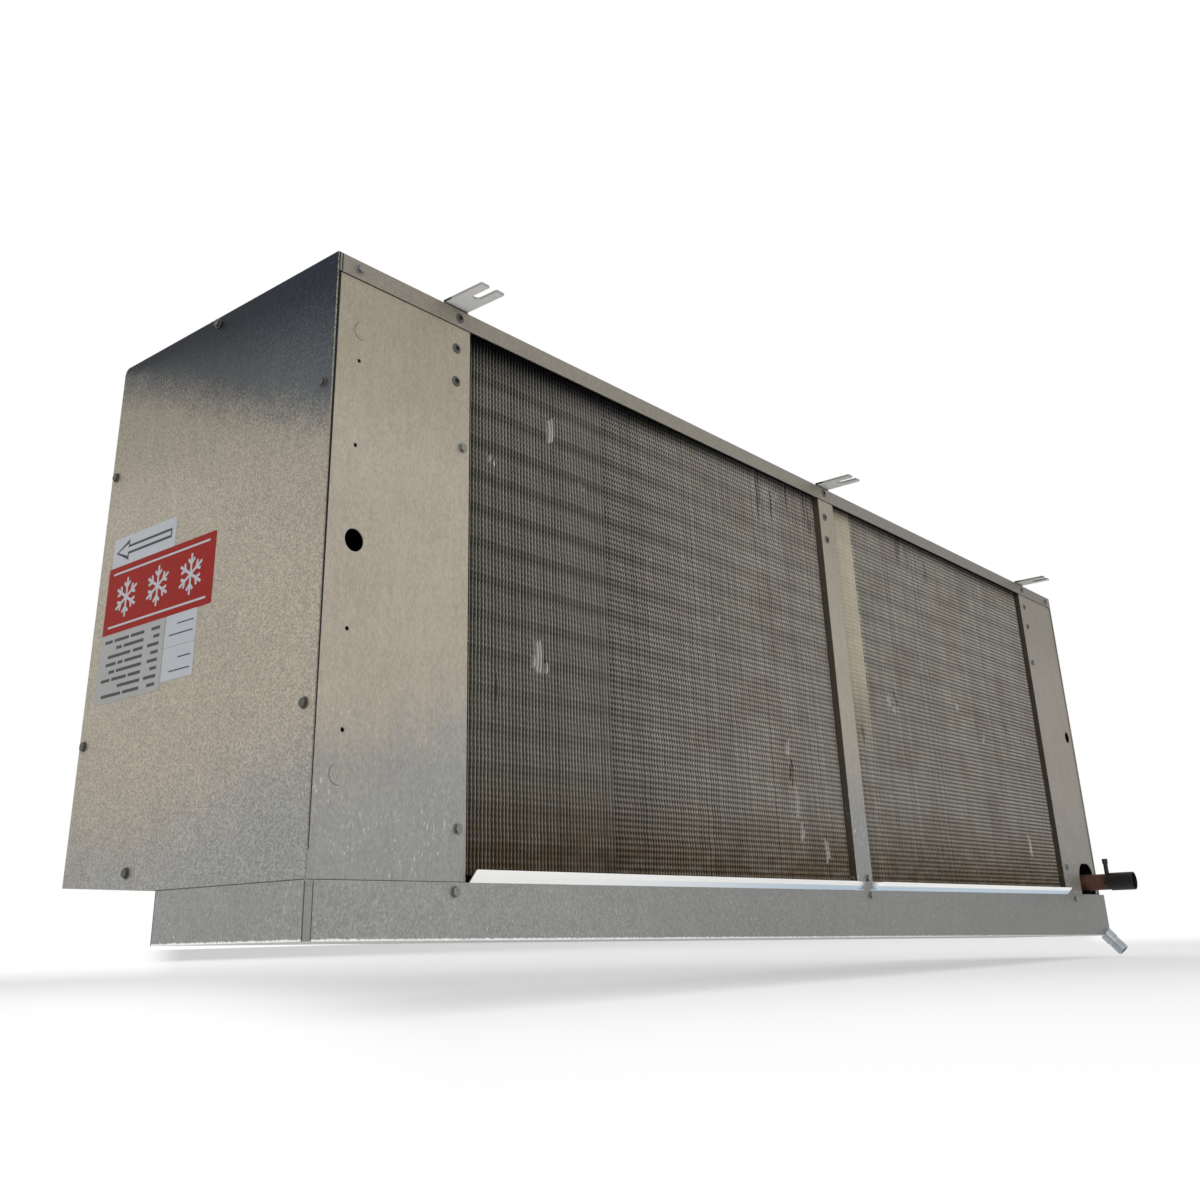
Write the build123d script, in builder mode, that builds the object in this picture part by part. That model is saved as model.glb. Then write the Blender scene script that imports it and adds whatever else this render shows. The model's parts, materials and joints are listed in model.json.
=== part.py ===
"""Ceiling-hung refrigeration evaporator: a folded sheet-metal cabinet round a finned coil,
with a sloping drain pan under the coil, two fans behind it and six hangers on top.

X runs along the cabinet, from the plain end to the end with the pipework.
Y runs from the coil face, where air goes in, to the fans.
Z is up. The origin is on the ceiling face of the middle front hanger, above the coil face.
All sizes are in millimetres."""
import os
from math import cos, radians, sin

from build123d import *

os.makedirs("parts", exist_ok=True)

# Cabinet
cabinet_height = 590
cabinet_depth = 393
coil_opening = 1546
left_panel_width = 184
right_panel_width = 170
sheet = 1.5
top_flange = 20
end_fold = 12
end_corner_radius = 8
rear_rise = 9.5

# Hangers
hanger_width = 34
hanger_reach = 52
hanger_thickness = 3
hanger_rise = 4
hanger_leg = 17
hanger_slot_width = 11
hanger_slot_length = 28
hanger_inset = 19

# Levels and ends that most pieces share
top_z = -(hanger_rise + hanger_thickness)
base_z = top_z - cabinet_height
left_x = -coil_opening / 2 - left_panel_width
right_x = coil_opening / 2 + right_panel_width
inner_left_x = left_x + sheet
inner_right_x = right_x - sheet
fan_panel_y = cabinet_depth - 2 * sheet
baffle_rear_y = fan_panel_y - hanger_thickness

# Front panels and the strut between the two coil bays
panel_tuck = 20
coil_face_y = 11.5
strut_width = 44
conduit_hole_radius = 11
conduit_hole_height = 298
left_conduit_inset = 36.5
right_conduit_inset = 27
screw_hole_radius = 2.2
screw_hole_inset = 33
screw_hole_heights = [124, 214, 392, 481]
pipe_notch_inset = 12
pipe_notch_width = 78
pipe_notch_height = 56

# Coil
coil_overlap = 12
coil_depth = 132
coil_base_gap = 8
tube_pitch = 38.1
tube_radius = 6.35
tube_columns = 4
fin_stand = 13
fin_spacing = 40.64
fin_thickness = 1.5

# Drain pan
pan_depth = 220
pan_left_height = 47
pan_right_height = 74
pan_overhang = 25
lip_reach = 10
lip_height = 11
lip_end_gap = 4
lip_flat_reach = 2.5
lip_flat_width = 12
lip_taper = 34

# Drain fitting
drain_angle = 48
drain_root_radius = 12
drain_pipe_radius = 10.65
drain_bore_radius = 8
drain_root_inside = 5
drain_root_outside = 10
drain_pipe_length = 26
drain_clearance = 0.2
drain_wall_gap = 1

# Suction pipe
suction_inset = 48
suction_height = 21.5
suction_radius = 14.3
suction_wall = 1.3
suction_bend_radius = 42
suction_reach = 84
suction_socket_length = 42
suction_socket_wall = 1.5
suction_socket_clearance = 0.1
suction_socket_depth = 24
header_top_gap = 70
valve_socket_gap = 0.5
valve_radius = 4
valve_height = 27
valve_cap_radius = 5
valve_cap_height = 9

# Fan section
fan_ring_margin = 37.25
fan_ring_flange = 18
fan_ring_reach = 45
fan_ring_wall = 1.5
guard_thickness = 4
guard_wire = 4
guard_rim = 7
guard_rings = 6
guard_spokes = 8
guard_hub_radius = 42
hub_radius = 40
hub_length = 46
blade_count = 4
first_blade_angle = 45
blade_tip_clearance = 13
blade_root_chord = 90
blade_tip_chord = 165
blade_thickness = 2.5
blade_root_angle = 34
blade_tip_angle = 22
blade_root_sink = 4
motor_radius = 50
motor_length = 105
motor_edge = 6
shaft_radius = 6.35
bracket_y = 300
bracket_thickness = 3
bracket_width = 40
bracket_clearance = 6
bracket_foot = 26
bracket_hole_radius = 14

# Places worked out from the sizes above
coil_half = coil_opening / 2 + coil_overlap
coil_base_z = base_z + coil_base_gap
coil_top_z = top_z - sheet
coil_height = coil_top_z - coil_base_z
bay_width = (coil_opening - strut_width) / 2
bay_centre = (coil_opening + strut_width) / 4
hanger_spacing = coil_opening / 2 + hanger_inset
pan_right_x = right_x + pan_overhang
suction_x = right_x - suction_inset
suction_z = base_z + suction_height
suction_socket_bore = suction_radius + suction_socket_clearance
suction_socket_radius = suction_socket_bore + suction_socket_wall
valve_y = suction_socket_length - suction_reach + valve_cap_radius + valve_socket_gap
fan_z = (base_z + rear_rise + top_z) / 2
fan_face_y = cabinet_depth - sheet
fan_centres = {"left": -coil_opening / 4, "right": coil_opening / 4}
fan_opening_radius = (cabinet_height - rear_rise) / 2 - fan_ring_flange - fan_ring_margin
blade_sweep_radius = fan_opening_radius - blade_tip_clearance
finished = []


def keep(piece, name):
    """Name a finished piece and remember it for the export at the end."""
    piece.part.label = name
    finished.append(piece.part)


def floor_level(y):
    """Height of the cabinet's lower edge, which rises behind the drain pan."""
    share = max(0, y - pan_depth) / (cabinet_depth - pan_depth)
    return base_z + rear_rise * share


def side_outline(front_y, rear_y, base_inset, high_z):
    """Points of the cabinet's side shape, seen along X, with insets for what lies outside."""
    return [
        (front_y, base_z + base_inset),
        (pan_depth, base_z + base_inset),
        (rear_y, floor_level(rear_y) + base_inset),
        (rear_y, high_z),
        (front_y, high_z),
    ]


def end_panel(outer_x, inward, name):
    """A flat end with folded edges that the other sheets are screwed to."""
    fold_top_z = top_z - sheet
    with BuildPart() as panel:
        with BuildSketch(Plane.YZ.offset(outer_x)) as face:
            Polygon(*side_outline(0, cabinet_depth, 0, top_z), align=None)
            rear_top = face.vertices().sort_by(Axis.Y)[-2:].sort_by(Axis.X)[-1]
            fillet(rear_top, end_corner_radius)
        extrude(amount=inward * sheet)
        with BuildSketch(Plane.YZ.offset(outer_x + inward * sheet)):
            Polygon(*side_outline(2 * sheet, fan_panel_y, 0, fold_top_z), align=None)
            Polygon(
                *side_outline(3 * sheet, fan_panel_y - sheet, sheet, fold_top_z - sheet),
                align=None,
                mode=Mode.SUBTRACT,
            )
        extrude(amount=inward * (end_fold - sheet))
    keep(panel, name)


def front_panel(near_x, far_x, name, holes, notch=False):
    """A front panel with its inner edge folded back to the coil face."""
    low_z = base_z - panel_tuck
    high_z = top_z - sheet
    toward_coil = 1 if far_x > near_x else -1
    with BuildPart() as panel:
        with BuildSketch(Plane.XY.offset(low_z)):
            Polygon(
                (near_x, sheet),
                (far_x, sheet),
                (far_x, coil_face_y),
                (far_x - toward_coil * sheet, coil_face_y),
                (far_x - toward_coil * sheet, 2 * sheet),
                (near_x, 2 * sheet),
                align=None,
            )
        extrude(amount=high_z - low_z)
        for x, z, radius in holes:
            with BuildSketch(Plane.XZ.offset(-sheet)):
                with Locations((x, z)):
                    Circle(radius)
            extrude(amount=-sheet, mode=Mode.SUBTRACT)
        if notch:
            with BuildSketch(Plane.XZ.offset(-sheet)) as opening:
                with Locations((right_x - pipe_notch_inset - pipe_notch_width / 2, base_z)):
                    Rectangle(pipe_notch_width, pipe_notch_height, align=(Align.CENTER, Align.MIN))
                fillet(opening.vertices().group_by(Axis.Y)[-1], pipe_notch_height / 2)
            extrude(amount=-sheet, mode=Mode.SUBTRACT)
    keep(panel, name)


# Top panel, with folded front and rear edges and a slot for each hanger leg
leg_middle_y = 2 * sheet + hanger_thickness / 2
hanger_places = [
    (side * hanger_spacing, y)
    for y in (leg_middle_y, cabinet_depth - leg_middle_y)
    for side in (-1, 0, 1)
]
with BuildPart() as top_panel:
    with BuildSketch(Plane.YZ.offset(inner_left_x)):
        with Locations((cabinet_depth / 2, top_z)):
            Rectangle(cabinet_depth, top_flange, align=(Align.CENTER, Align.MAX))
        with Locations((cabinet_depth / 2, top_z - sheet)):
            Rectangle(
                cabinet_depth - 2 * sheet,
                top_flange,
                align=(Align.CENTER, Align.MAX),
                mode=Mode.SUBTRACT,
            )
    extrude(amount=inner_right_x - inner_left_x)
    with BuildSketch(Plane.XY.offset(top_z)):
        with Locations(*hanger_places):
            Rectangle(hanger_width, hanger_thickness)
    extrude(amount=-sheet, mode=Mode.SUBTRACT)
keep(top_panel, "top_panel")

# Ends and front
end_panel(left_x, 1, "left_end_panel")
end_panel(right_x, -1, "right_end_panel")

left_holes = [(left_x + left_conduit_inset, base_z + conduit_hole_height, conduit_hole_radius)]
for height in screw_hole_heights:
    left_holes.append((left_x + screw_hole_inset, base_z + height, screw_hole_radius))
right_holes = [(right_x - right_conduit_inset, base_z + conduit_hole_height, conduit_hole_radius)]
front_panel(inner_left_x, -coil_opening / 2, "left_front_panel", left_holes)
front_panel(inner_right_x, coil_opening / 2, "right_front_panel", right_holes, notch=True)

# Strut, a shallow channel with both edges folded back to the coil
with BuildPart() as centre_strut:
    with BuildSketch(Plane.XY.offset(base_z - panel_tuck)):
        with Locations((0, sheet)):
            Rectangle(strut_width, coil_face_y - sheet, align=(Align.CENTER, Align.MIN))
        with Locations((0, 2 * sheet)):
            Rectangle(
                strut_width - 2 * sheet,
                coil_face_y,
                align=(Align.CENTER, Align.MIN),
                mode=Mode.SUBTRACT,
            )
    extrude(amount=coil_top_z - base_z + panel_tuck)
keep(centre_strut, "centre_strut")

# Tube sheets, which carry the coil and run back to the fan panel as air baffles
for name, sheet_x in (
    ("left_tube_sheet", -coil_half - sheet),
    ("centre_tube_sheet", -sheet / 2),
    ("right_tube_sheet", coil_half),
):
    with BuildPart() as tube_sheet:
        with BuildSketch(Plane.YZ.offset(sheet_x)):
            Polygon(*side_outline(coil_face_y, baffle_rear_y, 2 * sheet, coil_top_z), align=None)
        extrude(amount=sheet)
    keep(tube_sheet, name)

# Fin packs: each bay's fins and tubes as one closed block, with its main fins standing from both faces
coil_rear_y = coil_face_y + coil_depth
fin_count = int(bay_width // fin_spacing)
for name, pack_x, bay_x in (
    ("left_fin_pack", -coil_half, -bay_centre),
    ("right_fin_pack", sheet / 2, bay_centre),
):
    with BuildPart() as fin_pack:
        with BuildSketch(Plane.XY.offset(coil_base_z)):
            with Locations((pack_x, coil_face_y)):
                Rectangle(coil_half - sheet / 2, coil_depth, align=(Align.MIN, Align.MIN))
            for middle_y in (coil_face_y + fin_stand / 2, coil_rear_y - fin_stand / 2):
                with Locations((bay_x, middle_y)):
                    Rectangle(bay_width, fin_stand, mode=Mode.SUBTRACT)
                    with GridLocations(fin_spacing, 0, fin_count, 1):
                        Rectangle(fin_thickness, fin_stand)
        extrude(amount=coil_height)
    keep(fin_pack, name)

# Return bends, half rings that join the tube ends outside the tube sheets
tube_column_pitch = coil_depth / tube_columns
tube_columns_y = [
    coil_face_y + (column + 1 / 2) * tube_column_pitch for column in range(tube_columns)
]
bend_spacing = 2 * tube_pitch
bends_per_column = int(coil_height // bend_spacing)
first_bend_z = coil_base_z + coil_height / 2 - bend_spacing * (bends_per_column - 1) / 2
header_column = 1
for name, bend_x, outward, skipped in (
    ("left_return_bends", -coil_half - sheet, -1, None),
    ("right_return_bends", coil_half + sheet, 1, header_column),
):
    with BuildPart(mode=Mode.PRIVATE) as bend:
        with BuildSketch(Plane.XY):
            with Locations((tube_pitch / 2, 0)):
                Circle(tube_radius)
        revolve(axis=Axis.Y, revolution_arc=180)
    half_ring = bend.part.rotate(Axis.Y, 90)
    if half_ring.bounding_box().center().X * outward < 0:
        half_ring = half_ring.rotate(Axis.Z, 180)
    with BuildPart() as return_bends:
        for column in range(tube_columns):
            if column == skipped:
                continue
            for row in range(bends_per_column):
                with Locations((bend_x, tube_columns_y[column], first_bend_z + row * bend_spacing)):
                    add(half_ring)
    keep(return_bends, name)

# Suction pipe: header, bend, stub through the front panel, and the socket at its end
header_top_z = top_z - header_top_gap
header_y = tube_columns_y[header_column]
header_feeds = bends_per_column - 2
with BuildPart() as suction_pipe:
    with BuildLine() as route:
        FilletPolyline(
            (suction_x, header_y, header_top_z),
            (suction_x, header_y, suction_z),
            (suction_x, -suction_reach, suction_z),
            radius=suction_bend_radius,
        )
    with BuildSketch(Plane(origin=(suction_x, header_y, header_top_z), z_dir=(0, 0, -1))):
        Circle(suction_radius)
    sweep(path=route.wires()[0])
    for feed in range(header_feeds):
        feed_z = first_bend_z + (feed + 1) * bend_spacing
        with BuildSketch(Plane.YZ.offset(coil_half + sheet)):
            with Locations((header_y, feed_z)):
                Circle(tube_radius)
        extrude(amount=suction_x - coil_half - sheet)
    with BuildSketch(Plane.XZ.offset(suction_reach)):
        with Locations((suction_x, suction_z)):
            Circle(suction_socket_radius)
    extrude(amount=-suction_socket_length)
    with BuildSketch(Plane.XZ.offset(suction_reach)):
        with Locations((suction_x, suction_z)):
            Circle(suction_socket_bore)
    extrude(amount=-suction_socket_depth, mode=Mode.SUBTRACT)
    with BuildSketch(Plane.XZ.offset(suction_reach)):
        with Locations((suction_x, suction_z)):
            Circle(suction_radius - suction_wall)
    extrude(amount=-(suction_reach + coil_face_y), mode=Mode.SUBTRACT)
keep(suction_pipe, "suction_pipe")

# Access valve on top of the suction stub
with BuildPart() as access_valve:
    with BuildSketch(Plane.XY.offset(suction_z)):
        with Locations((suction_x, valve_y)):
            Circle(valve_radius)
    extrude(amount=suction_radius + valve_height)
    with BuildSketch(Plane.XY.offset(suction_z + suction_radius + valve_height - valve_cap_height)):
        with Locations((suction_x, valve_y)):
            Circle(valve_cap_radius)
    extrude(amount=valve_cap_height)
    with BuildSketch(Plane.XZ.offset(-header_y)):
        with Locations((suction_x, suction_z)):
            Circle(suction_radius)
    extrude(amount=header_y + suction_reach, mode=Mode.SUBTRACT)
keep(access_valve, "access_valve")

# Drain pan: a folded tray, deeper at the piped end, with a flared lip that flattens at the strut
lip_stations = [
    (-coil_opening / 2 + lip_end_gap, lip_reach),
    (-lip_flat_width / 2 - lip_taper, lip_reach),
    (-lip_flat_width / 2, lip_flat_reach),
    (lip_flat_width / 2, lip_flat_reach),
    (lip_flat_width / 2 + lip_taper, lip_reach),
    (coil_opening / 2, lip_reach),
]
drain_x = pan_right_x - sheet - drain_root_radius - drain_wall_gap
drain_plane = Plane(
    origin=(drain_x, 0, base_z - pan_right_height),
    x_dir=(1, 0, 0),
    z_dir=(0, -cos(radians(drain_angle)), -sin(radians(drain_angle))),
)
with BuildPart() as drain_pan:
    with BuildSketch(Plane.XZ):
        Polygon(
            (left_x, base_z),
            (left_x, base_z - pan_left_height),
            (pan_right_x, base_z - pan_right_height),
            (pan_right_x, base_z),
            align=None,
        )
    extrude(amount=-pan_depth)
    with BuildSketch(Plane.XZ.offset(-sheet)):
        Polygon(
            (left_x + sheet, base_z),
            (left_x + sheet, base_z - pan_left_height + sheet),
            (pan_right_x - sheet, base_z - pan_right_height + sheet),
            (pan_right_x - sheet, base_z),
            align=None,
        )
    extrude(amount=-(pan_depth - 2 * sheet), mode=Mode.SUBTRACT)
    for stretch in zip(lip_stations, lip_stations[1:]):
        for station_x, reach in stretch:
            with BuildSketch(Plane.YZ.offset(station_x)):
                Polygon(
                    (0, base_z),
                    (sheet, base_z),
                    (sheet - reach, base_z + lip_height),
                    (-reach, base_z + lip_height),
                    align=None,
                )
        loft()
    with BuildSketch(Plane.XY.offset(base_z)):
        with Locations((left_x + end_fold, pan_depth)):
            Rectangle(right_x - left_x - 2 * end_fold, sheet, align=(Align.MIN, Align.MAX))
    extrude(amount=sheet)
    with BuildSketch(drain_plane.offset(-drain_root_inside)):
        Circle(drain_root_radius + drain_clearance)
    extrude(amount=drain_root_inside + drain_root_outside, mode=Mode.SUBTRACT)
keep(drain_pan, "drain_pan")

# Drain fitting, a threaded stub set through the pan's low front corner
with BuildPart() as drain_fitting:
    with BuildSketch(drain_plane.offset(-drain_root_inside)):
        Circle(drain_root_radius)
    extrude(amount=drain_root_inside + drain_root_outside)
    with BuildSketch(drain_plane.offset(drain_root_outside)):
        Circle(drain_pipe_radius)
    extrude(amount=drain_pipe_length)
    with BuildSketch(drain_plane.offset(-drain_root_inside)):
        Circle(drain_bore_radius)
    extrude(
        amount=drain_root_inside + drain_root_outside + drain_pipe_length, mode=Mode.SUBTRACT
    )
keep(drain_fitting, "drain_fitting")

# Hangers: bent plates with an open slot for the ceiling rod
for row_name, face_y, outward in (("front", 0, -1), ("rear", cabinet_depth, 1)):
    leg_outer_y = face_y - outward * 2 * sheet
    leg_inner_y = leg_outer_y - outward * hanger_thickness
    tip_y = face_y + outward * hanger_reach
    slot_y = tip_y - outward * (hanger_slot_length - hanger_slot_width / 2)
    for place, hanger_x in (
        ("left", -hanger_spacing),
        ("centre", 0),
        ("right", hanger_spacing),
    ):
        with BuildPart() as hanger:
            with BuildSketch(Plane.YZ.offset(hanger_x - hanger_width / 2)):
                Polygon(
                    (leg_inner_y, top_z - hanger_leg),
                    (leg_outer_y, top_z - hanger_leg),
                    (leg_outer_y, -hanger_thickness),
                    (tip_y, -hanger_thickness),
                    (tip_y, 0),
                    (leg_inner_y, 0),
                    align=None,
                )
            extrude(amount=hanger_width)
            with BuildSketch(Plane.XY):
                with Locations((hanger_x, slot_y)):
                    Circle(hanger_slot_width / 2)
                with Locations((hanger_x, (slot_y + tip_y) / 2)):
                    Rectangle(hanger_slot_width, abs(tip_y - slot_y))
            extrude(amount=-hanger_thickness, mode=Mode.SUBTRACT)
        keep(hanger, "hanger_" + row_name + "_" + place)

# Floor of the fan section, which rests on the pan's rear rim
floor_rear_y = fan_panel_y - sheet
with BuildPart() as fan_section_floor:
    with BuildSketch(Plane.YZ.offset(inner_left_x)):
        Polygon(
            (pan_depth - 2 * sheet, base_z + sheet),
            (pan_depth, base_z + sheet),
            (floor_rear_y, floor_level(floor_rear_y) + sheet),
            (floor_rear_y, floor_level(floor_rear_y) + 2 * sheet),
            (pan_depth, base_z + 2 * sheet),
            (pan_depth - 2 * sheet, base_z + 2 * sheet),
            align=None,
        )
    extrude(amount=inner_right_x - inner_left_x)
keep(fan_section_floor, "fan_section_floor")

# Fan panel, the discharge side
with BuildPart() as fan_panel:
    with BuildSketch(Plane.XZ.offset(-fan_panel_y)):
        Polygon(
            (inner_left_x, base_z + rear_rise),
            (inner_right_x, base_z + rear_rise),
            (inner_right_x, coil_top_z),
            (inner_left_x, coil_top_z),
            align=None,
        )
        with Locations(*[(x, fan_z) for x in fan_centres.values()]):
            Circle(fan_opening_radius, mode=Mode.SUBTRACT)
    extrude(amount=-sheet)
keep(fan_panel, "fan_panel")

for side, fan_x in fan_centres.items():
    # Ring that guides the air out through the panel
    outlet_y = fan_face_y + fan_ring_reach
    with BuildPart() as fan_ring:
        with BuildSketch(Plane.XY.offset(fan_z)):
            Polygon(
                (fan_x + fan_opening_radius, fan_face_y),
                (fan_x + fan_opening_radius + fan_ring_flange, fan_face_y),
                (fan_x + fan_opening_radius + fan_ring_flange, fan_face_y + fan_ring_wall),
                (fan_x + fan_opening_radius + fan_ring_wall, fan_face_y + fan_ring_wall),
                (fan_x + fan_opening_radius + fan_ring_wall, outlet_y),
                (fan_x + fan_opening_radius, outlet_y),
                align=None,
            )
        revolve(axis=Axis((fan_x, 0, fan_z), (0, 1, 0)))
    keep(fan_ring, "fan_ring_" + side)

    # Guard over the outlet
    rim_radius = fan_opening_radius + guard_rim / 2
    ring_step = (rim_radius - guard_hub_radius) / guard_rings
    with BuildPart() as fan_guard:
        with BuildSketch(Plane(origin=(fan_x, outlet_y, fan_z), z_dir=(0, 1, 0))):
            Circle(rim_radius)
            Circle(rim_radius - guard_rim, mode=Mode.SUBTRACT)
            for ring in range(guard_rings - 1, 0, -1):
                ring_radius = guard_hub_radius + ring * ring_step
                Circle(ring_radius)
                Circle(ring_radius - guard_wire, mode=Mode.SUBTRACT)
            Circle(guard_hub_radius)
            with PolarLocations(0, guard_spokes):
                Rectangle(rim_radius - guard_rim / 2, guard_wire, align=(Align.MIN, Align.CENTER))
        extrude(amount=guard_thickness)
    keep(fan_guard, "fan_guard_" + side)

    # Blades on their hub
    with BuildPart() as fan_blades:
        with BuildSketch(Plane.XZ.offset(-(cabinet_depth + hub_length / 2))):
            with Locations((fan_x, fan_z)):
                Circle(hub_radius)
        extrude(amount=hub_length)
        for blade in range(blade_count):
            turn = radians(first_blade_angle + 360 * blade / blade_count)
            radial = Vector(cos(turn), 0, sin(turn))
            around = Vector(-sin(turn), 0, cos(turn))
            for radius, chord, angle in (
                (hub_radius - blade_root_sink, blade_root_chord, blade_root_angle),
                (blade_sweep_radius, blade_tip_chord, blade_tip_angle),
            ):
                chord_line = around * cos(radians(angle)) + Vector(0, sin(radians(angle)), 0)
                station = Vector(fan_x, cabinet_depth, fan_z) + radial * radius
                with BuildSketch(Plane(origin=station, x_dir=chord_line, z_dir=radial)):
                    Rectangle(chord, blade_thickness)
            loft()
    keep(fan_blades, "fan_blades_" + side)

    # Motor, hung on its bracket with the shaft through to the hub
    with BuildPart() as fan_motor:
        with BuildSketch(Plane.XZ.offset(-bracket_y)):
            with Locations((fan_x, fan_z)):
                Circle(motor_radius)
        extrude(amount=motor_length)
        fillet(fan_motor.edges().filter_by(GeomType.CIRCLE), motor_edge)
        with BuildSketch(Plane.XZ.offset(-bracket_y)):
            with Locations((fan_x, fan_z)):
                Circle(shaft_radius)
        extrude(amount=-(cabinet_depth - hub_length / 2 - bracket_y))
    keep(fan_motor, "fan_motor_" + side)

    # Bracket that spans the fan opening from top to bottom
    leg_z = fan_opening_radius + bracket_clearance
    with BuildPart() as motor_bracket:
        with BuildSketch(Plane.YZ.offset(fan_x - bracket_width / 2)):
            with Locations((fan_panel_y, fan_z)):
                Rectangle(
                    fan_panel_y - bracket_y,
                    2 * (leg_z + bracket_thickness),
                    align=(Align.MAX, Align.CENTER),
                )
                Rectangle(
                    bracket_thickness,
                    2 * (leg_z + bracket_foot),
                    align=(Align.MAX, Align.CENTER),
                )
                with Locations((bracket_thickness, 0)):
                    Rectangle(
                        fan_panel_y - bracket_y,
                        2 * leg_z,
                        align=(Align.MAX, Align.CENTER),
                        mode=Mode.SUBTRACT,
                    )
        extrude(amount=bracket_width)
        with BuildSketch(Plane.XZ.offset(-bracket_y)):
            with Locations((fan_x, fan_z)):
                Circle(bracket_hole_radius)
        extrude(amount=-bracket_thickness, mode=Mode.SUBTRACT)
    keep(motor_bracket, "motor_bracket_" + side)

for solid in finished:
    export_step(solid, "parts/" + solid.label + ".step")
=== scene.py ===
"""Looks for a ceiling-hung refrigeration evaporator: finishes for its sheet metal, a finned coil,
fasteners, labels, pipe ends and wire guards, all on the frame's own pieces, and a plain pale stage."""
import json
from math import cos, floor, pi, radians, sin

import bmesh
import bpy
from bpy.props import FloatProperty, FloatVectorProperty, IntProperty, PointerProperty
from mathutils import Matrix, Vector, noise


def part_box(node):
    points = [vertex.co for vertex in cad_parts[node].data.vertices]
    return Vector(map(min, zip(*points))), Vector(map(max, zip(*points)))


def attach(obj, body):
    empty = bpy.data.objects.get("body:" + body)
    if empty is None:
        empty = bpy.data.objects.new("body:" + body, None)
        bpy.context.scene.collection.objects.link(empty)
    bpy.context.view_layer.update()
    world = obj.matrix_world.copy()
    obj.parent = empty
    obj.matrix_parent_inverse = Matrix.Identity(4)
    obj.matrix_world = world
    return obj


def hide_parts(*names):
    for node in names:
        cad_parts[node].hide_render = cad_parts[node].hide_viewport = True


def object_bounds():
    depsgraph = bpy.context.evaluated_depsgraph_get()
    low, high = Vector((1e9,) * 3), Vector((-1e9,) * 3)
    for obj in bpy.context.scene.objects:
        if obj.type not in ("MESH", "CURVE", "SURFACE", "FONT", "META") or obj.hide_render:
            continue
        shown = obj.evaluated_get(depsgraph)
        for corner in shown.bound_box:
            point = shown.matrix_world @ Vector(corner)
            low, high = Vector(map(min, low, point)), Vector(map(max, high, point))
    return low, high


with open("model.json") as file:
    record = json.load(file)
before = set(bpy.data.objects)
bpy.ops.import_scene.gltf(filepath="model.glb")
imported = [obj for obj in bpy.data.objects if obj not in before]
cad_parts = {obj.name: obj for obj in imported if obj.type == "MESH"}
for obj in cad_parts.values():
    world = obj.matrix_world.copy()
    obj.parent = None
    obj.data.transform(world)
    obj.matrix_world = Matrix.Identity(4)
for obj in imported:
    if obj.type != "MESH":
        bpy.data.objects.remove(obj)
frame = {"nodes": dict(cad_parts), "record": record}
frame_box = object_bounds()

bl_info = {
    "name": "Refrigeration Evaporator",
    "version": (1, 0, 0),
    "blender": (4, 5, 0),
    "location": "3D View > Sidebar > Evaporator",
    "description": "Dresses a ceiling-hung evaporator with its finishes, fins and fasteners",
    "category": "Object",
}

MM = 0.001
X_AXIS = Vector((1, 0, 0))
Y_AXIS = Vector((0, 1, 0))
Z_AXIS = Vector((0, 0, 1))

# Levels and ends that come from the frame
END_LOW, END_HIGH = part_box("left_end_panel")
RIGHT_END_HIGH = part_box("right_end_panel")[1]
PAN_LOW, PAN_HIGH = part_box("drain_pan")
STRUT_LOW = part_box("centre_strut")[0]
COIL_LOW, COIL_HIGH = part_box("left_fin_pack")
FAR_COIL_LOW, FAR_COIL_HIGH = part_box("right_fin_pack")
LEFT_LOW, LEFT_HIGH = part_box("left_front_panel")
RIGHT_LOW, RIGHT_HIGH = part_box("right_front_panel")
CABINET_LEFT = END_LOW.x
CABINET_RIGHT = RIGHT_END_HIGH.x
CABINET_TOP = END_HIGH.z
CABINET_BASE = END_LOW.z
CABINET_FRONT = END_LOW.y
CABINET_REAR = END_HIGH.y
CABINET_LENGTH = CABINET_RIGHT - CABINET_LEFT
CABINET_DEPTH = CABINET_REAR - CABINET_FRONT
CABINET_HEIGHT = CABINET_TOP - CABINET_BASE
SHEET = LEFT_LOW.y - CABINET_FRONT
PAN_FOOT_SHARE = 0.365
PAN_LEFT_FOOT = PAN_LOW.z + PAN_FOOT_SHARE * (CABINET_BASE - PAN_LOW.z)
# How far each copy of a fastener is turned past the last
COPY_TURN = radians(37)


def linear(red, green, blue):
    """Turn 0 to 255 picture values into the linear light that a colour property holds."""
    return tuple(((value / 255 + 0.055) / 1.055) ** 2.4 for value in (red, green, blue))


def length(name, description, millimetres):
    """A length property, written in millimetres and held in metres."""
    return FloatProperty(
        name=name, description=description, default=millimetres * MM, min=0, unit="LENGTH", precision=5
    )


def colour(name, description, red, green, blue):
    """A colour property, written as picture values and held as linear light."""
    return FloatVectorProperty(
        name=name,
        description=description,
        default=linear(red, green, blue),
        size=3,
        min=0,
        max=1,
        subtype="COLOR",
    )


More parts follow.
